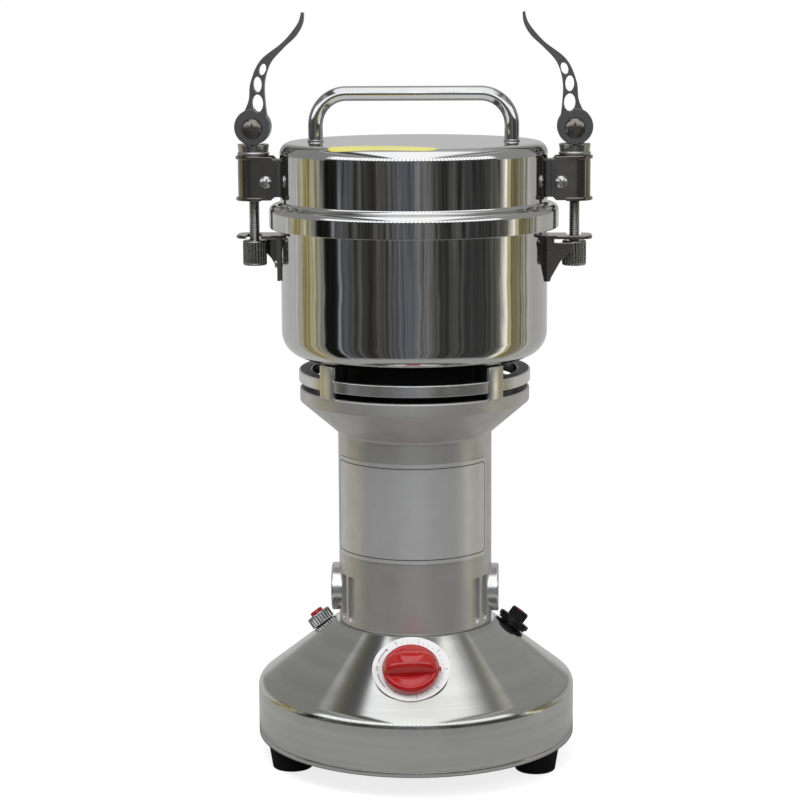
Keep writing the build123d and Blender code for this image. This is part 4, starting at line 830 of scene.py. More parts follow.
# outer, inner and holes are shares of the length: inward, up, half width, half height and lean
lever = {"hub": 288.5, "length": 51.3, "half": 2.8, "cheek": 4.8, "cam": 8.0, "offset": 0.60, "pin": 4.35,
         "gap": 2.75, "swing": 35.0,
         "outer": [(-0.090, 0.109), (-0.030, 0.240), (-0.010, 0.400), (0.078, 0.588), (0.273, 0.743),
                   (0.403, 0.897), (0.437, 1.0)],
         "inner": [(0.458, 0.992), (0.446, 0.897), (0.386, 0.794), (0.276, 0.691), (0.160, 0.560),
                   (0.108, 0.390), (0.112, 0.210), (0.125, 0.101)],
         "holes": [(0.047, 0.217, 0.050, 0.077, 0.0), (0.048, 0.380, 0.039, 0.068, 0.0),
                   (0.094, 0.509, 0.031, 0.052, -0.349)]}


def makeLevers(b):
    hub = b["hub"]
    size = b["length"]

    def spot(inward, up):
        return (boltAt - inward * size, hub + up * size)

    edge = [spot(*p) for p in flow(b["outer"])] + [spot(*p) for p in flow(b["inner"])]
    holes = [oval(*spot(x, y), wide * size, tall * size, -lean) for x, y, wide, tall, lean in b["holes"]]
    disc = [ring(boltAt, hub + b["offset"], b["cam"], 72), ring(boltAt, hub, b["pin"], 40)]
    side = 2 * b["cam"]
    through = holes[:1]  # the lowest hole reaches into the hub
    out = math.radians(b["swing"])
    reach = b["gap"] / math.cos(out)
    swept = [[(boltAt - b["gap"], hub), (boltAt - b["gap"], hub - side), (boltAt + side, hub - side),
              (boltAt + side, hub + side * math.tan(out) + reach),
              (boltAt, hub + reach)]]  # room for the bolt

    def opened(shape, *openings):
        return cutAway(shape, [plate("opening", outline, -side, side, 0.01) for outline in openings])

    parts = [opened(plate("leverCheek", disc, low, high, 0.25), through)
             for low, high in ((-b["cheek"], -b["gap"]), (b["gap"], b["cheek"]))]
    parts.append(opened(plate("leverWeb", disc, -b["gap"], b["gap"], 0.01), through, swept))
    parts.append(opened(plate("leverArm", [edge, *holes], -b["half"], b["half"], 0.25), swept))
    addPair("camLever", turnedTo(merge("camLever", parts), layOnSide), "clampSteel", "cam_lever")


pin = {"hub": lever["hub"], "radius": 4.3, "half": 4.95, "dome": 0.9, "crossReach": 2.3,
       "crossHalf": 0.45, "crossDeep": 1.1}


def makePins(b):
    line = []
    for k in range(9):
        a = math.pi / 2 * k / 8
        line.append(((b["radius"] - 0.02) * math.sin(a), b["half"] + b["dome"] * math.cos(a)))
    wall = [(b["radius"], -b["half"] + 0.3), (b["radius"], b["half"] - 0.3)]
    shape = lathe("barrelPin", [(r, -z) for r, z in line] + wall + line[::-1], 64)
    bars = []
    for way in (-1, 1):
        bars += crossBars(way * (b["half"] + b["dome"]), b["crossReach"], b["crossHalf"], b["crossDeep"])
    shape = turnedTo(cutAway(shape, bars), move(boltAt, 0, b["hub"]) @ layOnSide)
    addPair("barrelPin", shape, "pinSteel", "barrel_pin")


bolt = {"radius": 2.4, "low": 227.75, "high": 290.1, "plain": 262.0, "pitch": 0.8, "depth": 0.36,
        "chamfer": 0.4, "sides": 28}


def makeBolts(b):
    rows = [b["low"]]
    while rows[-1] < b["plain"]:
        rows.append(rows[-1] + b["pitch"] / 6)
    rows += [b["plain"] + b["chamfer"], b["high"] - b["chamfer"], b["high"]]
    verts = []
    for z in rows:
        for k in range(b["sides"]):
            r = b["radius"]
            if z < b["plain"]:
                turn = (z / b["pitch"] - k / b["sides"]) % 1.0
                r -= b["depth"] * abs(2 * turn - 1)
            if z in (rows[0], rows[-1]):
                r -= b["chamfer"]
            x, y = polar(r, 2 * math.pi * k / b["sides"])
            verts.append((boltAt + x, y, z))
    faces = gridFaces(len(rows), b["sides"])
    faces.append(tuple(range(b["sides"]))[::-1])
    faces.append(tuple(range(len(verts) - b["sides"], len(verts))))
    addPair("drawBolt", meshFrom("drawBolt", verts, faces), "screwSteel", "draw_bolt", smooth=50.0)


# fluted wall: heights between low and high, and what lathe needs to flute it
def fluted(low, high, count, number, depth):
    walls = [low + k * (high - low) / (count - 1) for k in range(count)]
    return walls, (number, depth, low - 0.01, high + 0.01)


nut = {"radius": 5.4, "bore": 2.45, "low": 226.95, "high": 238.25, "edge": 0.7, "chamfer": 0.5,
       "plain": 1.0, "flutes": 26, "depth": 0.35}


def makeNuts(b):
    walls, flutes = fluted(b["low"] + b["plain"], b["high"] - b["plain"], 5, b["flutes"], b["depth"])
    mouth = b["bore"] + b["chamfer"]
    shape = lathe("thumbNut", [
        (b["bore"], b["low"] + b["chamfer"]), (mouth, b["low"]), (b["radius"], b["low"], b["edge"]),
        *[(b["radius"], z) for z in walls], (b["radius"], b["high"], b["edge"]), (mouth, b["high"]),
        (b["bore"], b["high"] - b["chamfer"])], b["flutes"] * 8, flutes)
    shape.transform(move(boltAt, 0, 0))
    addPair("thumbNut", shape, "screwSteel", "thumb_nut", smooth=24.0)


fork = {"bowl": 60.05, "low": 239.4, "high": 240.9, "reach": 79.9, "open": 7.0, "closed": 9.2, "slot": 3.3,
        "round": 4.4, "root": 59.4, "gussetThick": 1.6, "gussetLow": 220.4, "plate": 1.7, "lap": 0.3,
        "gusset": [(60.6, 220.4), (65.6, 229.3), (71.8, 235.9, 1.0), (71.8, 237.8), (63.0, 237.8),
                   (63.0, 239.7)]}


def makeForks(b):
    sides = [b["open"] - k * (b["open"] + b["closed"]) / 10 for k in range(11)]
    wall = [(math.sqrt(b["bowl"] ** 2 - y * y), y) for y in sides]
    near, far = boltAt - b["slot"], boltAt + b["slot"]
    inside = b["slot"] - 0.05
    front = roundLine([(b["reach"] - 12, -b["closed"]), (b["reach"], -b["closed"], b["round"]),
                       (b["reach"], b["open"], b["round"]), (far, b["open"]), (far, -b["slot"], inside),
                       (near, -b["slot"], inside), (near, b["open"])], closed=False, step=8.0)
    parts = [plate("forkTop", [wall + front], b["low"], b["high"], 0.3)]
    under = b["low"] + b["lap"]
    side = roundLine([(b["root"], b["gussetLow"]), *b["gusset"], (b["root"], under)], step=12.0)
    gusset = plate("forkGusset", [side], b["closed"] - b["gussetThick"], b["closed"], 0.3)
    parts.append(turnedTo(gusset, layOnSide))
    outer = b["bowl"] + b["plate"]
    low = -math.asin(b["closed"] / outer)
    high = math.asin(b["open"] / outer)
    arc = [low + (high - low) * k / 14 for k in range(15)]
    back = [polar(outer, a) for a in arc] + [polar(b["bowl"], a) for a in reversed(arc)]
    parts.append(plate("forkBack", [back], b["gussetLow"], under, 0.25))
    addPair("fork", merge("fork", parts), "brownSteel", "fork")


screw = {"at": 65.9, "z": 264.8, "face": clampBox["half"], "head": 2.85, "wall": 0.7, "rise": 2.0,
         "nut": 3.1, "nutRise": 2.4, "crossReach": 1.75, "crossHalf": 0.42, "crossDeep": 1.0,
         "crossTurn": 0.5}


def makeClampScrews(b):
    foot = b["face"] + b["wall"]
    dome = []
    for k in range(8):
        a = math.pi / 2 * k / 7
        dome.append((b["head"] * math.cos(a), foot + (b["rise"] - b["wall"]) * math.sin(a)))
    head = lathe("panHead", [(0, b["face"]), (b["head"], b["face"]), *dome], 48)
    head = cutAway(head, crossBars(b["face"] + b["rise"], b["crossReach"], b["crossHalf"], b["crossDeep"]))
    back = plate("backNut", [ring(0, 0, b["nut"], 6)], -b["face"] - b["nutRise"], -b["face"], 0.3)
    parts = []
    for side in (-1, 1):
        spot = move(side * b["at"], 0, b["z"]) @ layOnSide
        parts.append(turnedTo(head, spot @ Matrix.Rotation(b["crossTurn"] * side, 4, "Z")))
        parts.append(turnedTo(back, spot))
    addPiece("clampScrew", merge("clampScrew", parts), "brightScrew", "clamp_screws")


makeClampBoxes(clampBox)
makeSaddles(saddle)
makeLevers(lever)
makePins(pin)
makeBolts(bolt)
makeNuts(nut)
makeForks(fork)
makeClampScrews(screw)
print("clamps made")

# controls on the cone
knob = {"radius": 12.6, "gap": 0.9, "skirt": 5.7, "deck": 6.0, "spindle": 2.95, "spindleLow": -12.0,
        "gripHalf": 6.1, "gripReach": 11.9, "gripLow": 2.2, "gripEnd": 8.3, "height": 12.8, "tab": 1.3,
        "tabOut": 0.9, "tabHigh": 2.4, "lean": 4.0, "across": 22, "along": 40}


# finger grip: s runs along it from end to end, and a over its back from side to side
def knobGrip(b):
    power = 2 / 3.0
    verts = []
    for j in range(b["along"] + 1):
        s = 2 * j / b["along"] - 1
        close = math.sqrt(max(0.0, 1 - abs(s) ** 9))
        crown = b["gripEnd"] + (b["height"] - b["gripEnd"]) * (1 - abs(s) ** 2.3)
        wide = b["gripHalf"] * (1 - 0.24 * abs(s) ** 2.0) * (0.72 + 0.28 * close)
        for k in range(b["across"] + 1):
            a = math.pi * k / b["across"]
            rise = math.sin(a) ** power
            reach = math.copysign(abs(math.cos(a)) ** power, math.cos(a))
            z = b["gripLow"] + (crown - b["gripLow"]) * rise * (0.55 + 0.45 * close)
            verts.append((s * b["gripReach"], wide * (1 - 0.10 * rise) * reach, z))
    row = b["across"] + 1
    faces = gridFaces(b["along"] + 1, row, roundColumns=False)
    last = b["along"] * row
    rim = list(range(row)) + [j * row + row - 1 for j in range(1, b["along"] + 1)]
    rim += [last + k for k in range(row - 2, -1, -1)] + [j * row for j in range(b["along"] - 1, 0, -1)]
    faces.append(tuple(rim))
    return meshFrom("knobGrip", verts, faces)


def makeKnob(b):
    r = b["radius"]
    body = lathe("knobSkirt", [
        (0, b["spindleLow"]), (b["spindle"], b["spindleLow"]), (b["spindle"], b["gap"]),
        (r - 0.7, b["gap"], 0.3), (r, b["gap"] + 0.7, 0.3), (r, b["skirt"] - 1.3, 0.5),
        (r - 1.0, b["skirt"], 0.5), (r - 1.7, b["skirt"], 0.3), (r - 2.2, b["skirt"] - 0.4, 0.3),
        (r - 4.0, b["deck"], 0.6), (0, b["deck"])], 96)
    grip = knobGrip(b)
    tab = block("knobTab", (r - 1.0, -b["tab"] / 2, b["gap"] + 0.3),
                (r + b["tabOut"], b["tab"] / 2, b["gap"] + b["tabHigh"]), 0.3)
    shape = merge("timerKnob", [body, grip, tab])
    shape.transform(timerPlane @ spin(b["lean"]))
    addPiece("timerKnob", shape, "redPlastic", "timer_knob", smooth=40.0)


# turns in degrees on the dial; sweeps are the two arcs beside OFF
dial = {"radius": 17.3, "rise": 2.3, "hole": 5.0, "thick": 0.4, "ink": 0.03, "tickIn": 13.9,
        "tickOut": 14.6, "tickLonger": 0.5, "tickHalf": 0.08, "ticks": 24, "start": 118.0, "sweep": 236.0,
        "numbers": 15.8, "textSize": 1.6, "arc": 15.0, "arcHalf": 0.17, "arrowHalf": 0.7, "arrowLong": 1.1,
        "sweeps": ((140.0, 168.0), (192.0, 222.0))}


# point of the dial's drawing laid just above its face
def onDial(x, y):
    return timerPlane @ (Vector((x, y + dial["rise"], dial["thick"] + dial["ink"])) * mm) / mm


def dialLines(b):
    verts, faces = [], []

    def strip(spots, half):
        start = len(verts)
        for (x, y), (nx, ny) in spots:
            verts.append(onDial(x + nx * half, y + ny * half))
            verts.append(onDial(x - nx * half, y - ny * half))
        for k in range(len(spots) - 1):
            faces.append((start + 2 * k, start + 2 * k + 1, start + 2 * k + 3, start + 2 * k + 2))

    for k in range(b["ticks"] + 1):
        a = math.radians(b["start"] - b["sweep"] * k / b["ticks"])
        far = b["tickOut"] + (b["tickLonger"] if k % 4 == 0 else 0.0)
        strip([(polar(r, a), (-math.sin(a), math.cos(a))) for r in (b["tickIn"], far)], b["tickHalf"])
    for start, end in b["sweeps"]:
        turns = [math.radians(start + (end - start) * k / 12) for k in range(13)]
        strip([(polar(b["arc"], a), polar(1.0, a)) for a in turns], b["arcHalf"])
    a = math.radians(b["sweeps"][0][0])
    x, y = polar(b["arc"], a)
    tip = (x + b["arrowLong"] * math.sin(a), y - b["arrowLong"] * math.cos(a))
    first = len(verts)
    for spot in (tip, polar(b["arc"] + b["arrowHalf"], a), polar(b["arc"] - b["arrowHalf"], a)):
        verts.append(onDial(*spot))
    faces.append((first, first + 1, first + 2))
    return meshFrom("dialTicks", verts, faces)


# word lying on the dial at a turn, upright in its own direction
def dialWord(b, word, turn, lean, radius):
    text = bpy.data.curves.new("word", "FONT")
    text.body = word
    text.size = b["textSize"]
    text.align_x = "CENTER"
    text.align_y = "CENTER"
    flat = meshOf(text)
    upright = Matrix.Rotation(math.radians(lean), 2)
    at = Vector(polar(radius, math.radians(turn)))
    for v in flat.vertices:
        v.co = Vector(onDial(*(upright @ v.co.xy + at))) * mm
    return flat


def makeDial(b):
    outlines = [ring(0, b["rise"], b["radius"], 120), ring(0, 0, b["hole"], 48)]
    face = plate("dialFace", outlines, 0.05, b["thick"], 0.12)
    face.transform(timerPlane)
    addPiece("dialFace", face, "dialWhite", "dial_plate")
    marks = [dialLines(b)]
    for number in (1, 2, 3, 4, 5, 0):
        turn = b["start"] - b["sweep"] * number / 6
        marks.append(dialWord(b, str(number), turn, turn - 90.0, b["numbers"]))
    marks.append(dialWord(b, "OFF", 180.0, 90.0, b["arc"]))
    addPiece("dialMarks", merge("dialMarks", marks), "printInk", "dial_plate", body="base")


reset = {"neck": 4.85, "radius": 5.85, "low": 0.25, "high": 5.4, "bore": 3.5, "step": 3.85,
         "fluteLow": 0.75, "fluteHigh": 4.35, "flutes": 28, "depth": 0.4, "button": 3.2, "buttonLow": -7.0,
         "buttonHigh": 7.2, "dish": 1.9, "dishDeep": 0.25}


def makeReset(b):
    walls, flutes = fluted(b["fluteLow"], b["fluteHigh"], 5, b["flutes"], b["depth"])
    shape = lathe("resetBezel", [
        (b["neck"], b["low"]), (b["radius"], b["low"], 0.2), *[(b["radius"], z) for z in walls],
        (b["radius"], b["high"], 0.6), (b["bore"], b["high"], 0.25), (b["bore"], b["step"]),
        (b["neck"], b["step"])], b["flutes"] * 8, flutes)
    shape.transform(resetPlane)
    addPiece("resetBezel", shape, "handleSteel", "reset_bezel", smooth=24.0)
    sunk = b["buttonHigh"] - b["dishDeep"]
    button = lathe("resetButton", [
        (0, b["buttonLow"]), (b["button"], b["buttonLow"]), (b["button"], b["buttonHigh"], 0.9),
        (b["dish"], b["buttonHigh"], 0.4), (b["dish"] - 0.3, sunk), (0, sunk)], 48)
    button.transform(resetPlane)
    addPiece("resetButton", button, "redPlastic", "reset_button")


fuse = {"radius": 5.4, "flange": 7.75, "bottom": -24.0, "well": -20.0, "low": 0.4, "step": 1.5, "high": 3.7,
        "bore": 3.6, "undercut": 0.8, "notches": (20, 110, 200, 290), "notchHalf": 1.2, "notchDeep": 0.7,
        "cap": 4.3, "plug": 3.35, "plugLow": -4.0, "capLow": 4.0, "fluteLow": 4.6, "fluteHigh": 7.0,
        "capHigh": 8.4, "flutes": 22, "depth": 0.3, "eye": 2.9, "eyeDeep": 0.5, "insert": 2.75,
        "slotReach": 2.0, "slotHalf": 0.45}


def makeFuse(b):
    edge = b["flange"] - b["undercut"]
    holder = lathe("fuseHolder", [
        (0, b["bottom"]), (b["radius"], b["bottom"], 0.8), (b["radius"], b["low"]), (edge, b["low"], 0.2),
        (edge, b["step"]), (b["flange"], b["step"], 0.3), (b["flange"], b["high"], 0.5),
        (b["bore"] + 1.6, b["high"], 0.3), (b["bore"] + 1.3, b["high"] + 0.2), (b["bore"], b["high"]),
        (b["bore"], b["well"]), (0, b["well"])], 72)
    notch = block("notch", (b["flange"] - b["notchDeep"], -b["notchHalf"], b["step"] - 0.5),
                  (b["flange"] + 1.0, b["notchHalf"], b["high"] + 1.0), 0.2, 2)
    holder = cutAway(holder, [turnedTo(notch, spin(turn)) for turn in b["notches"]])
    holder.transform(fusePlane)
    addPiece("fuseHolder", holder, "blackPlastic", "fuse_holder")
    walls, flutes = fluted(b["fluteLow"], b["fluteHigh"], 4, b["flutes"], b["depth"])
    eyeFloor = b["capHigh"] - b["eyeDeep"]
    cap = lathe("fuseCap", [
        (0, b["plugLow"]), (b["plug"], b["plugLow"]), (b["plug"], b["capLow"]),
        (b["cap"], b["capLow"], 0.2), *[(b["cap"], z) for z in walls], (b["cap"], b["capHigh"], 1.0),
        (b["eye"], b["capHigh"], 0.2), (b["eye"] - 0.1, eyeFloor), (0, eyeFloor)], b["flutes"] * 8, flutes)
    cap.transform(fusePlane)
    addPiece("fuseCap", cap, "blackPlastic", "fuse_cap", smooth=26.0)
    insert = lathe("fuseInsert", [(0, eyeFloor), (b["insert"], eyeFloor),
                                  (b["insert"], b["capHigh"] + 0.1, 0.3), (0, b["capHigh"] + 0.25)], 48)
    slot = block("slot", (-b["slotReach"], -b["slotHalf"], b["capHigh"] - 0.3),
                 (b["slotReach"], b["slotHalf"], b["capHigh"] + 1.0), 0.05, 1)
    insert = cutAway(insert, [slot])
    insert.transform(fusePlane)
    addPiece("fuseInsert", insert, "redPlastic", "fuse_cap", body="fuse")


makeKnob(knob)
makeDial(dial)
makeReset(reset)
makeFuse(fuse)
print("controls made")

# blades inside the bowl: name, node, reach, height and turn of each
blade = {"half": 7.0, "thick": 2.2, "hub": 10.0, "shaft": 4.02, "grind": 0.75, "nut": 7.5, "nutLow": 212.9,
         "nutHigh": 219.4, "nutEdge": 0.7,
         "pair": (("lowerBlade", "lower_blade", 51.0, 198.2, 20.0),
                  ("upperBlade", "upper_blade", 45.0, 210.7, 110.0))}


def makeBlades(b):
    half = b["half"]
    bore = ring(0, 0, b["shaft"], 32)
    for name, node, reach, low, turn in b["pair"]:
        arm = roundLine([
            (0, -half), (0.40 * reach, -1.09 * half, 1.7 * half), (0.84 * reach, -0.51 * half, 1.1 * half),
            (reach, 0.46 * half, 0.14 * half), (0.96 * reach, 1.09 * half, 0.14 * half),
            (0.40 * reach, 0.94 * half, 1.7 * half), (0, half)], closed=False, step=6.0)
        swell = 0.55 * b["hub"]
        outline = [(x, y * (1 + 0.32 * max(0.0, 1 - x / (2 * swell)))) for x, y in arm]
        outline += [(-x, -y) for x, y in outline]
        shape = plate(name, [outline, bore], low, low + b["thick"], b["grind"])
        shape.transform(spin(turn))
        addPiece(name, shape, "groundSteel", node, smooth=25.0)
    hexNut = plate("bladeNut", [ring(0, 0, b["nut"], 6), bore], b["nutLow"], b["nutHigh"], b["nutEdge"])
    addPiece("bladeNut", hexNut, "screwSteel", "blade_nut")


makeBlades(blade)
print("blades made")

# finishes of the nodes that keep their CAD shape
keptFinish = {
    "base_plate": "groundSteel", "foot_screws": "screwSteel", "housing_screws": "screwSteel",
    "brush_holders": "brassTube", "carbon_brushes": "carbonBlock", "stator_core": "coreSteel",
    "field_coils": "copperWire", "lower_end_bell": "castAluminium", "upper_end_bell": "blackRubber",
    "motor_bearings": "groundSteel", "rotor_shaft": "groundSteel", "armature_core": "coreSteel",
    "armature_windings": "copperWire", "commutator": "copperWire", "cooling_fan": "blackPlastic",
    "blade_spacers": "groundSteel", "shaft_seal": "blackRubber", "bowl_screws": "brightScrew",
    "fork_rivets": "screwSteel", "lid_seal": "silicone", "handle_screws": "screwSteel",
    "clamp_ears": "clampSteel", "timer_body": "blackPlastic", "reset_body": "blackPlastic",
    "inlet_grommet": "blackRubber",
}
for node, finish in keptFinish.items():
    mesh = nodes[node].data
    mesh.materials.clear()
    mesh.materials.append(finishes[finish])
print("kept nodes dressed,", len(keptFinish))


# studio: pale floor, white surround and cards that only reflections see
def emitter(name, colour=(1.0, 1.0, 1.0)):
    material = bpy.data.materials.new(name)
    material.use_nodes = True
    tree = material.node_tree
    tree.nodes.remove(tree.nodes["Principled BSDF"])
    glow = tree.nodes.new("ShaderNodeEmission")
    glow.inputs["Color"].default_value = (*colour, 1.0)
    tree.links.new(glow.outputs[0], tree.nodes["Material Output"].inputs[0])
    material.cycles.emission_sampling = "NONE"
    return material, tree, glow.inputs


def addCard(name, verts, faces, material):
    mesh = bpy.data.meshes.new(name)
    mesh.from_pydata(verts, [], faces)
    mesh.materials.append(material)
    card = bpy.data.objects.new(name, mesh)
    scene.collection.objects.link(card)
    card.visible_camera = False
    card.visible_diffuse = False
    card.visible_shadow = False
    card.visible_transmission = False


# part of a cylinder or of a flat ring, from one angle to another measured from the front
def bandCard(name, first, last, lower, upper, sides, material):
    verts, faces = [], []
    for k in range(sides + 1):
        a = math.radians(first + (last - first) * k / sides)
        for radius, z in (lower, upper):
            verts.append((radius * math.sin(a), -radius * math.cos(a), z))
    for k in range(sides):
        faces.append((2 * k, 2 * k + 2, 2 * k + 3, 2 * k + 1))
    addCard(name, verts, faces, material)


# a ramp from rows of place, grey tone and warmth
def toneRamp(tree, value, table):
    ramp = tree.nodes.new("ShaderNodeValToRGB")
    feed(tree, ramp.inputs[0], value)
    stops = ramp.color_ramp.elements
    while len(stops) < len(table):
        stops.new(0.5)
    for stop, (place, tone, warm) in zip(stops, table):
        stop.position = place
        stop.color = (tone, tone * (1 - 0.12 * warm), tone * (1 - 0.55 * warm), 1.0)
    return ramp.outputs[0]


# angle about the shaft, from the front
def turnOf(tree, x, y):
    return calc(tree, "ARCTAN2", x, times(tree, y, -1.0))


def lengthOf(tree, point):
    node = tree.nodes.new("ShaderNodeVectorMath")
    node.operation = "LENGTH"
    tree.links.new(point, node.inputs[0])
    return node.outputs["Value"]


# sizes in metres; streaks are degrees from the front, grey tone and warmth; core and its tone paint the
# object's shadow on the floor card
room = {"radius": 2.0, "low": 0.0005, "high": 0.49, "sides": 180, "dimFrom": 0.15, "dimTo": 0.30,
        "dimTone": 0.12, "core": (0.080, 0.100), "paintedShadowTone": 0.10, "near": (0.16, 0.21), "nearTone": 0.48,
        "wander": 0.10, "clutterFine": 15.0, "clutter": (0.25, 2.1), "clear": (1.9, 2.2),
        "streaks": [
            (-180, 0.60, 0.0), (-120, 0.60, 0.0), (-110, 0.44, 0.5), (-104, 0.30, 1.1), (-98, 0.34, 1.1),
            (-92, 0.66, 0.7), (-88, 0.22, 0.7), (-84, 0.34, 0.4), (-79.5, 0.26, 0.2), (-78.5, 0.012, 0.1),
            (-65, 0.012, 0.05), (-63.5, 0.34, -0.1), (-61.5, 0.15, -0.2), (-53, 0.07, -0.1), (-43, 0.09, 0.2),
            (-35, 0.02, 0.0), (-28, 0.08, 0.3), (-12, 0.10, -0.2), (-2, 0.14, -0.4), (14, 0.18, 0.15),
            (21, 0.085, 0.1), (30, 0.035, 0.05), (38, 0.10, 0.05), (46, 0.045, 0.0), (70, 0.06, 0.05),
            (79, 0.18, 0.4), (84, 0.95, 0.15), (89, 0.62, 0.8), (93, 0.25, 1.0), (103, 0.22, 0.8),
            (116, 0.52, 0.15), (180, 0.60, 0.0)]}


# colour of the surroundings by the angle about the shaft, with fine clutter in front
def streakColour(tree, b):
    point, x, y, z = placeOf(tree)
    wander = times(tree, calc(tree, "SUBTRACT", cloud(tree, point, 3.0, 2.0), 0.5), b["wander"])
    turn = calc(tree, "ADD", turnOf(tree, x, y), wander)
    spot = joined(tree, times(tree, turn, b["clutterFine"]), 0.0, times(tree, z, 2.0))
    clutter = spread(tree, cloud(tree, spot, 1.0, 5.0, 0.75), *b["clutter"], 0.36, 0.64)
    clutter = spread(tree, calc(tree, "ABSOLUTE", turn), clutter, 1.0, *b["clear"])
    share = spread(tree, turn, 0.0, 1.0, -math.pi, math.pi)
    table = [((degrees + 180) / 360, tone, warm) for degrees, tone, warm in b["streaks"]]
    streaks = toneRamp(tree, share, table)
    scaled = tree.nodes.new("ShaderNodeVectorMath")
    scaled.operation = "SCALE"
    tree.links.new(streaks, scaled.inputs[0])
    tree.links.new(clutter, scaled.inputs["Scale"])
    return scaled.outputs[0], point, z


def grey(tone):
    return (tone, tone, tone, 1.0)


def makeRoom(b):
    material, tree, glow = emitter("surroundCard")
    colour, point, height = streakColour(tree, b)
    dim = spread(tree, height, 0.0, 0.5, b["dimFrom"], b["dimTo"])
    tree.links.new(blendColour(tree, dim, colour, grey(b["dimTone"])), glow["Color"])
    edge = (b["radius"], b["low"])
    bandCard("surroundCard", -180, 180, edge, (b["radius"], b["high"]), b["sides"], material)
    material, tree, glow = emitter("floorCard")
    colour, point, height = streakColour(tree, b)
    size = lengthOf(tree, point)
    # the dark core under the object is a painted shadow on the floor that reflections see
    near = blendColour(tree, spread(tree, size, 0.0, 1.0, *b["core"]), grey(b["paintedShadowTone"]),
                       grey(b["nearTone"]))
    far = spread(tree, size, 0.0, 1.0, *b["near"])
    tree.links.new(blendColour(tree, far, near, colour), glow["Color"])
    bandCard("floorCard", -180, 180, (0.001, b["low"]), edge, b["sides"], material)


# flat cards overhead: limits in metres, and rows of x, grey tone and warmth
overhead = {
    "ceilingCard": {"x": (-1.7, 1.7), "y": (-1.8, 0.5), "z": 1.15, "tones": [
        (-1.7, 0.34, -0.1), (-0.98, 0.34, -0.1), (-0.90, 0.55, -0.05), (-0.76, 0.60, 0.0), (-0.71, 0.20, 0.4),
        (-0.58, 0.11, 0.2), (-0.48, 0.14, -0.1), (-0.43, 0.62, -0.05), (-0.34, 0.65, -0.05),
        (0.30, 0.65, 0.0), (0.44, 0.65, -0.05), (0.58, 0.62, 0.0), (0.62, 0.20, 0.2), (0.69, 0.18, 0.2),
        (0.75, 0.60, 0.15), (0.88, 0.70, 0.1), (1.02, 0.42, 0.1), (1.7, 0.40, 0.1)]},
    "ceilingBack": {"x": (-1.7, 1.7), "y": (0.5, 1.7), "z": 1.15, "tones": [
        (-1.7, 0.36, -0.1), (-0.9, 0.50, 0.0), (0.9, 0.50, 0.0), (1.7, 0.40, 0.1)]},
    "skylightCard": {"x": (-0.46, 0.60), "y": (-1.78, 0.16), "z": 1.14, "tones": [
        (-0.46, 0.15, -0.1), (-0.40, 1.5, -0.12), (0.0, 1.6, 0.0), (0.40, 1.5, 0.0), (0.52, 0.9, -0.05),
        (0.60, 0.4, 0.0)]}}


def makeOverhead(book):
    for name, look in book.items():
        material, tree, glow = emitter(name)
        left, right = look["x"]
        share = spread(tree, placeOf(tree)[1], 0.0, 1.0, left, right)
        table = [((x - left) / (right - left), tone, warm) for x, tone, warm in look["tones"]]
        tree.links.new(toneRamp(tree, share, table), glow["Color"])
        front, back = look["y"]
        corners = [(left, front), (right, front), (right, back), (left, back)]
        addCard(name, [(x, y, look["z"]) for x, y in corners], [(0, 1, 2, 3)], material)


backWall = {"half": 0.50, "y": 0.95, "low": 0.325, "high": 1.15, "tone": 0.55}
sideWalls = {"radius": 0.9, "low": 0.235, "high": 1.148, "sides": 60, "warm": 0.98,
             "left": (-165, -75, 0.34), "right": (75, 165, 0.39)}


def makeWalls(back, side):
    material, tree, glow = emitter("backCard", grey(back["tone"])[:3])
    corners = [(-back["half"], back["low"]), (back["half"], back["low"]), (back["half"], back["high"]),
               (-back["half"], back["high"])]
    addCard("backCard", [(x, back["y"], z) for x, z in corners], [(0, 1, 2, 3)], material)
    for name in ("left", "right"):
        first, last, tone = side[name]
        card = "side" + name.capitalize()
        material, tree, glow = emitter(card, (tone, tone, tone * side["warm"]))
        bandCard(card, first, last, (side["radius"], side["low"]), (side["radius"], side["high"]),
                 side["sides"], material)


# bright shop lights in front, seen as a row of sparks on shoulder and rim
shopLights = {"reach": 72, "radius": 1.75, "low": 0.47, "high": 1.15, "sides": 90, "count": 112.0,
              "colour": (0.95, 0.975, 1.0), "strength": (1.0, 2.4)}


def makeShopLights(b):
    material, tree, glow = emitter("shopLights", b["colour"])
    point, x, y, z = placeOf(tree)
    wave = calc(tree, "SINE", times(tree, turnOf(tree, x, y), b["count"]))
    tree.links.new(spread(tree, wave, *b["strength"], -0.6, 0.6), glow["Strength"])
    bandCard("shopLights", -b["reach"], b["reach"], (b["radius"], b["low"]), (b["radius"], b["high"]),
             b["sides"], material)


# rays that meet the white background
def seenRays(tree):
    path = tree.nodes.new("ShaderNodeLightPath").outputs
    seen = calc(tree, "MAXIMUM", path["Is Camera Ray"], path["Is Glossy Ray"])
    return calc(tree, "MAXIMUM", seen, path["Is Transmission Ray"])


def mixShaders(tree, share, first, second):
    node = tree.nodes.new("ShaderNodeMixShader")
    for socket, shader in zip(node.inputs, (share, first, second)):
        tree.links.new(shader, socket)
    return node.outputs[0]


# pale floor that fades into the white world around it and keeps the object's shadow
paleFloor = {"half": 0.4, "tone": 0.30, "rough": 0.7, "gloss": 0.1, "glow": 0.80, "fade": (0.14, 0.34)}


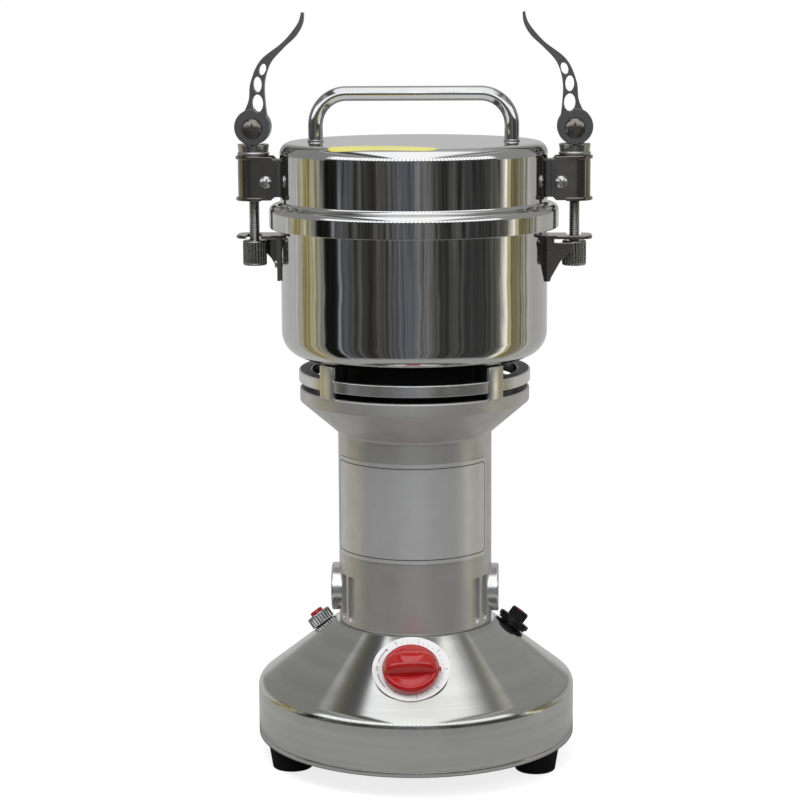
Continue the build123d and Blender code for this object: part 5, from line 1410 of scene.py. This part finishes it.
def makeFloor(b):
    material = bpy.data.materials.new("paleFloor")
    material.use_nodes = True
    tree = material.node_tree
    shader = tree.nodes["Principled BSDF"]
    shader.inputs["Base Color"].default_value = grey(b["tone"])
    shader.inputs["Roughness"].default_value = b["rough"]
    shader.inputs["Specular IOR Level"].default_value = b["gloss"]
    glow = tree.nodes.new("ShaderNodeEmission")
    tree.links.new(times(tree, seenRays(tree), b["glow"]), glow.inputs["Strength"])
    add = tree.nodes.new("ShaderNodeAddShader")
    tree.links.new(shader.outputs[0], add.inputs[0])
    tree.links.new(glow.outputs[0], add.inputs[1])
    fade = spread(tree, lengthOf(tree, placeOf(tree)[0]), 0.0, 1.0, *b["fade"])
    clear = tree.nodes.new("ShaderNodeBsdfTransparent").outputs[0]
    tree.links.new(mixShaders(tree, fade, add.outputs[0], clear), tree.nodes["Material Output"].inputs[0])
    mesh = bpy.data.meshes.new("paleFloor")
    half = b["half"]
    mesh.from_pydata([(-half, -half, 0), (half, -half, 0), (half, half, 0), (-half, half, 0)], [],
                     [(0, 1, 2, 3)])
    mesh.materials.append(material)
    floor = bpy.data.objects.new("paleFloor", mesh)
    scene.collection.objects.link(floor)


# light that the world gives, and white where it is seen
world = {"light": 0.55, "seen": 1.0}


def makeWorld(b):
    scene.world = bpy.data.worlds.new("paleStudio")
    scene.world.use_nodes = True
    tree = scene.world.node_tree
    shades = []
    for node, strength in ((tree.nodes["Background"], b["light"]),
                           (tree.nodes.new("ShaderNodeBackground"), b["seen"])):
        node.inputs["Color"].default_value = grey(1.0)
        node.inputs["Strength"].default_value = strength
        shades.append(node.outputs[0])
    tree.links.new(mixShaders(tree, seenRays(tree), *shades), tree.nodes["World Output"].inputs[0])


lamps = {"keyLamp": {"at": (-0.35, -0.55, 1.3), "size": (0.8, 0.6), "power": 9.0},
         "fillLamp": {"at": (0.9, -0.9, 1.0), "size": (0.8, 0.8), "power": 7.0},
         "backLamp": {"at": (0.2, 1.0, 1.2), "size": (1.2, 0.5), "power": 6.0}}
lampAim = (0, 0, 0.16)


def makeLamps(book):
    for name, look in book.items():
        lamp = bpy.data.lights.new(name, "AREA")
        lamp.shape = "RECTANGLE"
        lamp.size, lamp.size_y = look["size"]
        lamp.energy = look["power"]
        holder = bpy.data.objects.new(name, lamp)
        holder.location = look["at"]
        aim = Vector(lampAim) - Vector(look["at"])
        holder.rotation_euler = aim.to_track_quat("-Z", "Y").to_euler()
        holder.visible_glossy = False  # metal shows the cards instead
        scene.collection.objects.link(holder)


makeRoom(room)
makeOverhead(overhead)
makeWalls(backWall, sideWalls)
makeShopLights(shopLights)
makeFloor(paleFloor)
makeWorld(world)
makeLamps(lamps)
print("studio made")

# camera at the photograph's place; focal is in pixels of the frame
view = {"at": (0.0433, -1.0381, 0.3459), "pitch": 9.78, "yaw": 2.757, "roll": -0.32, "focal": 2313.0,
        "frame": 800.0, "sensor": 36.0, "shift": -0.00475}
lens = bpy.data.cameras.new("photoCamera")
lens.sensor_width = view["sensor"]
lens.lens = view["focal"] / view["frame"] * view["sensor"]
lens.shift_y = view["shift"]
lens.clip_start = 0.05
lens.clip_end = 50.0
camera = bpy.data.objects.new("photoCamera", lens)
camera.location = view["at"]
aim = spin(view["yaw"]) @ Matrix.Rotation(math.radians(90.0 - view["pitch"]), 4, "X")
camera.rotation_euler = (aim @ spin(view["roll"])).to_euler()
scene.collection.objects.link(camera)
scene.camera = camera
scene.view_settings.view_transform = "Standard"
print("camera set")
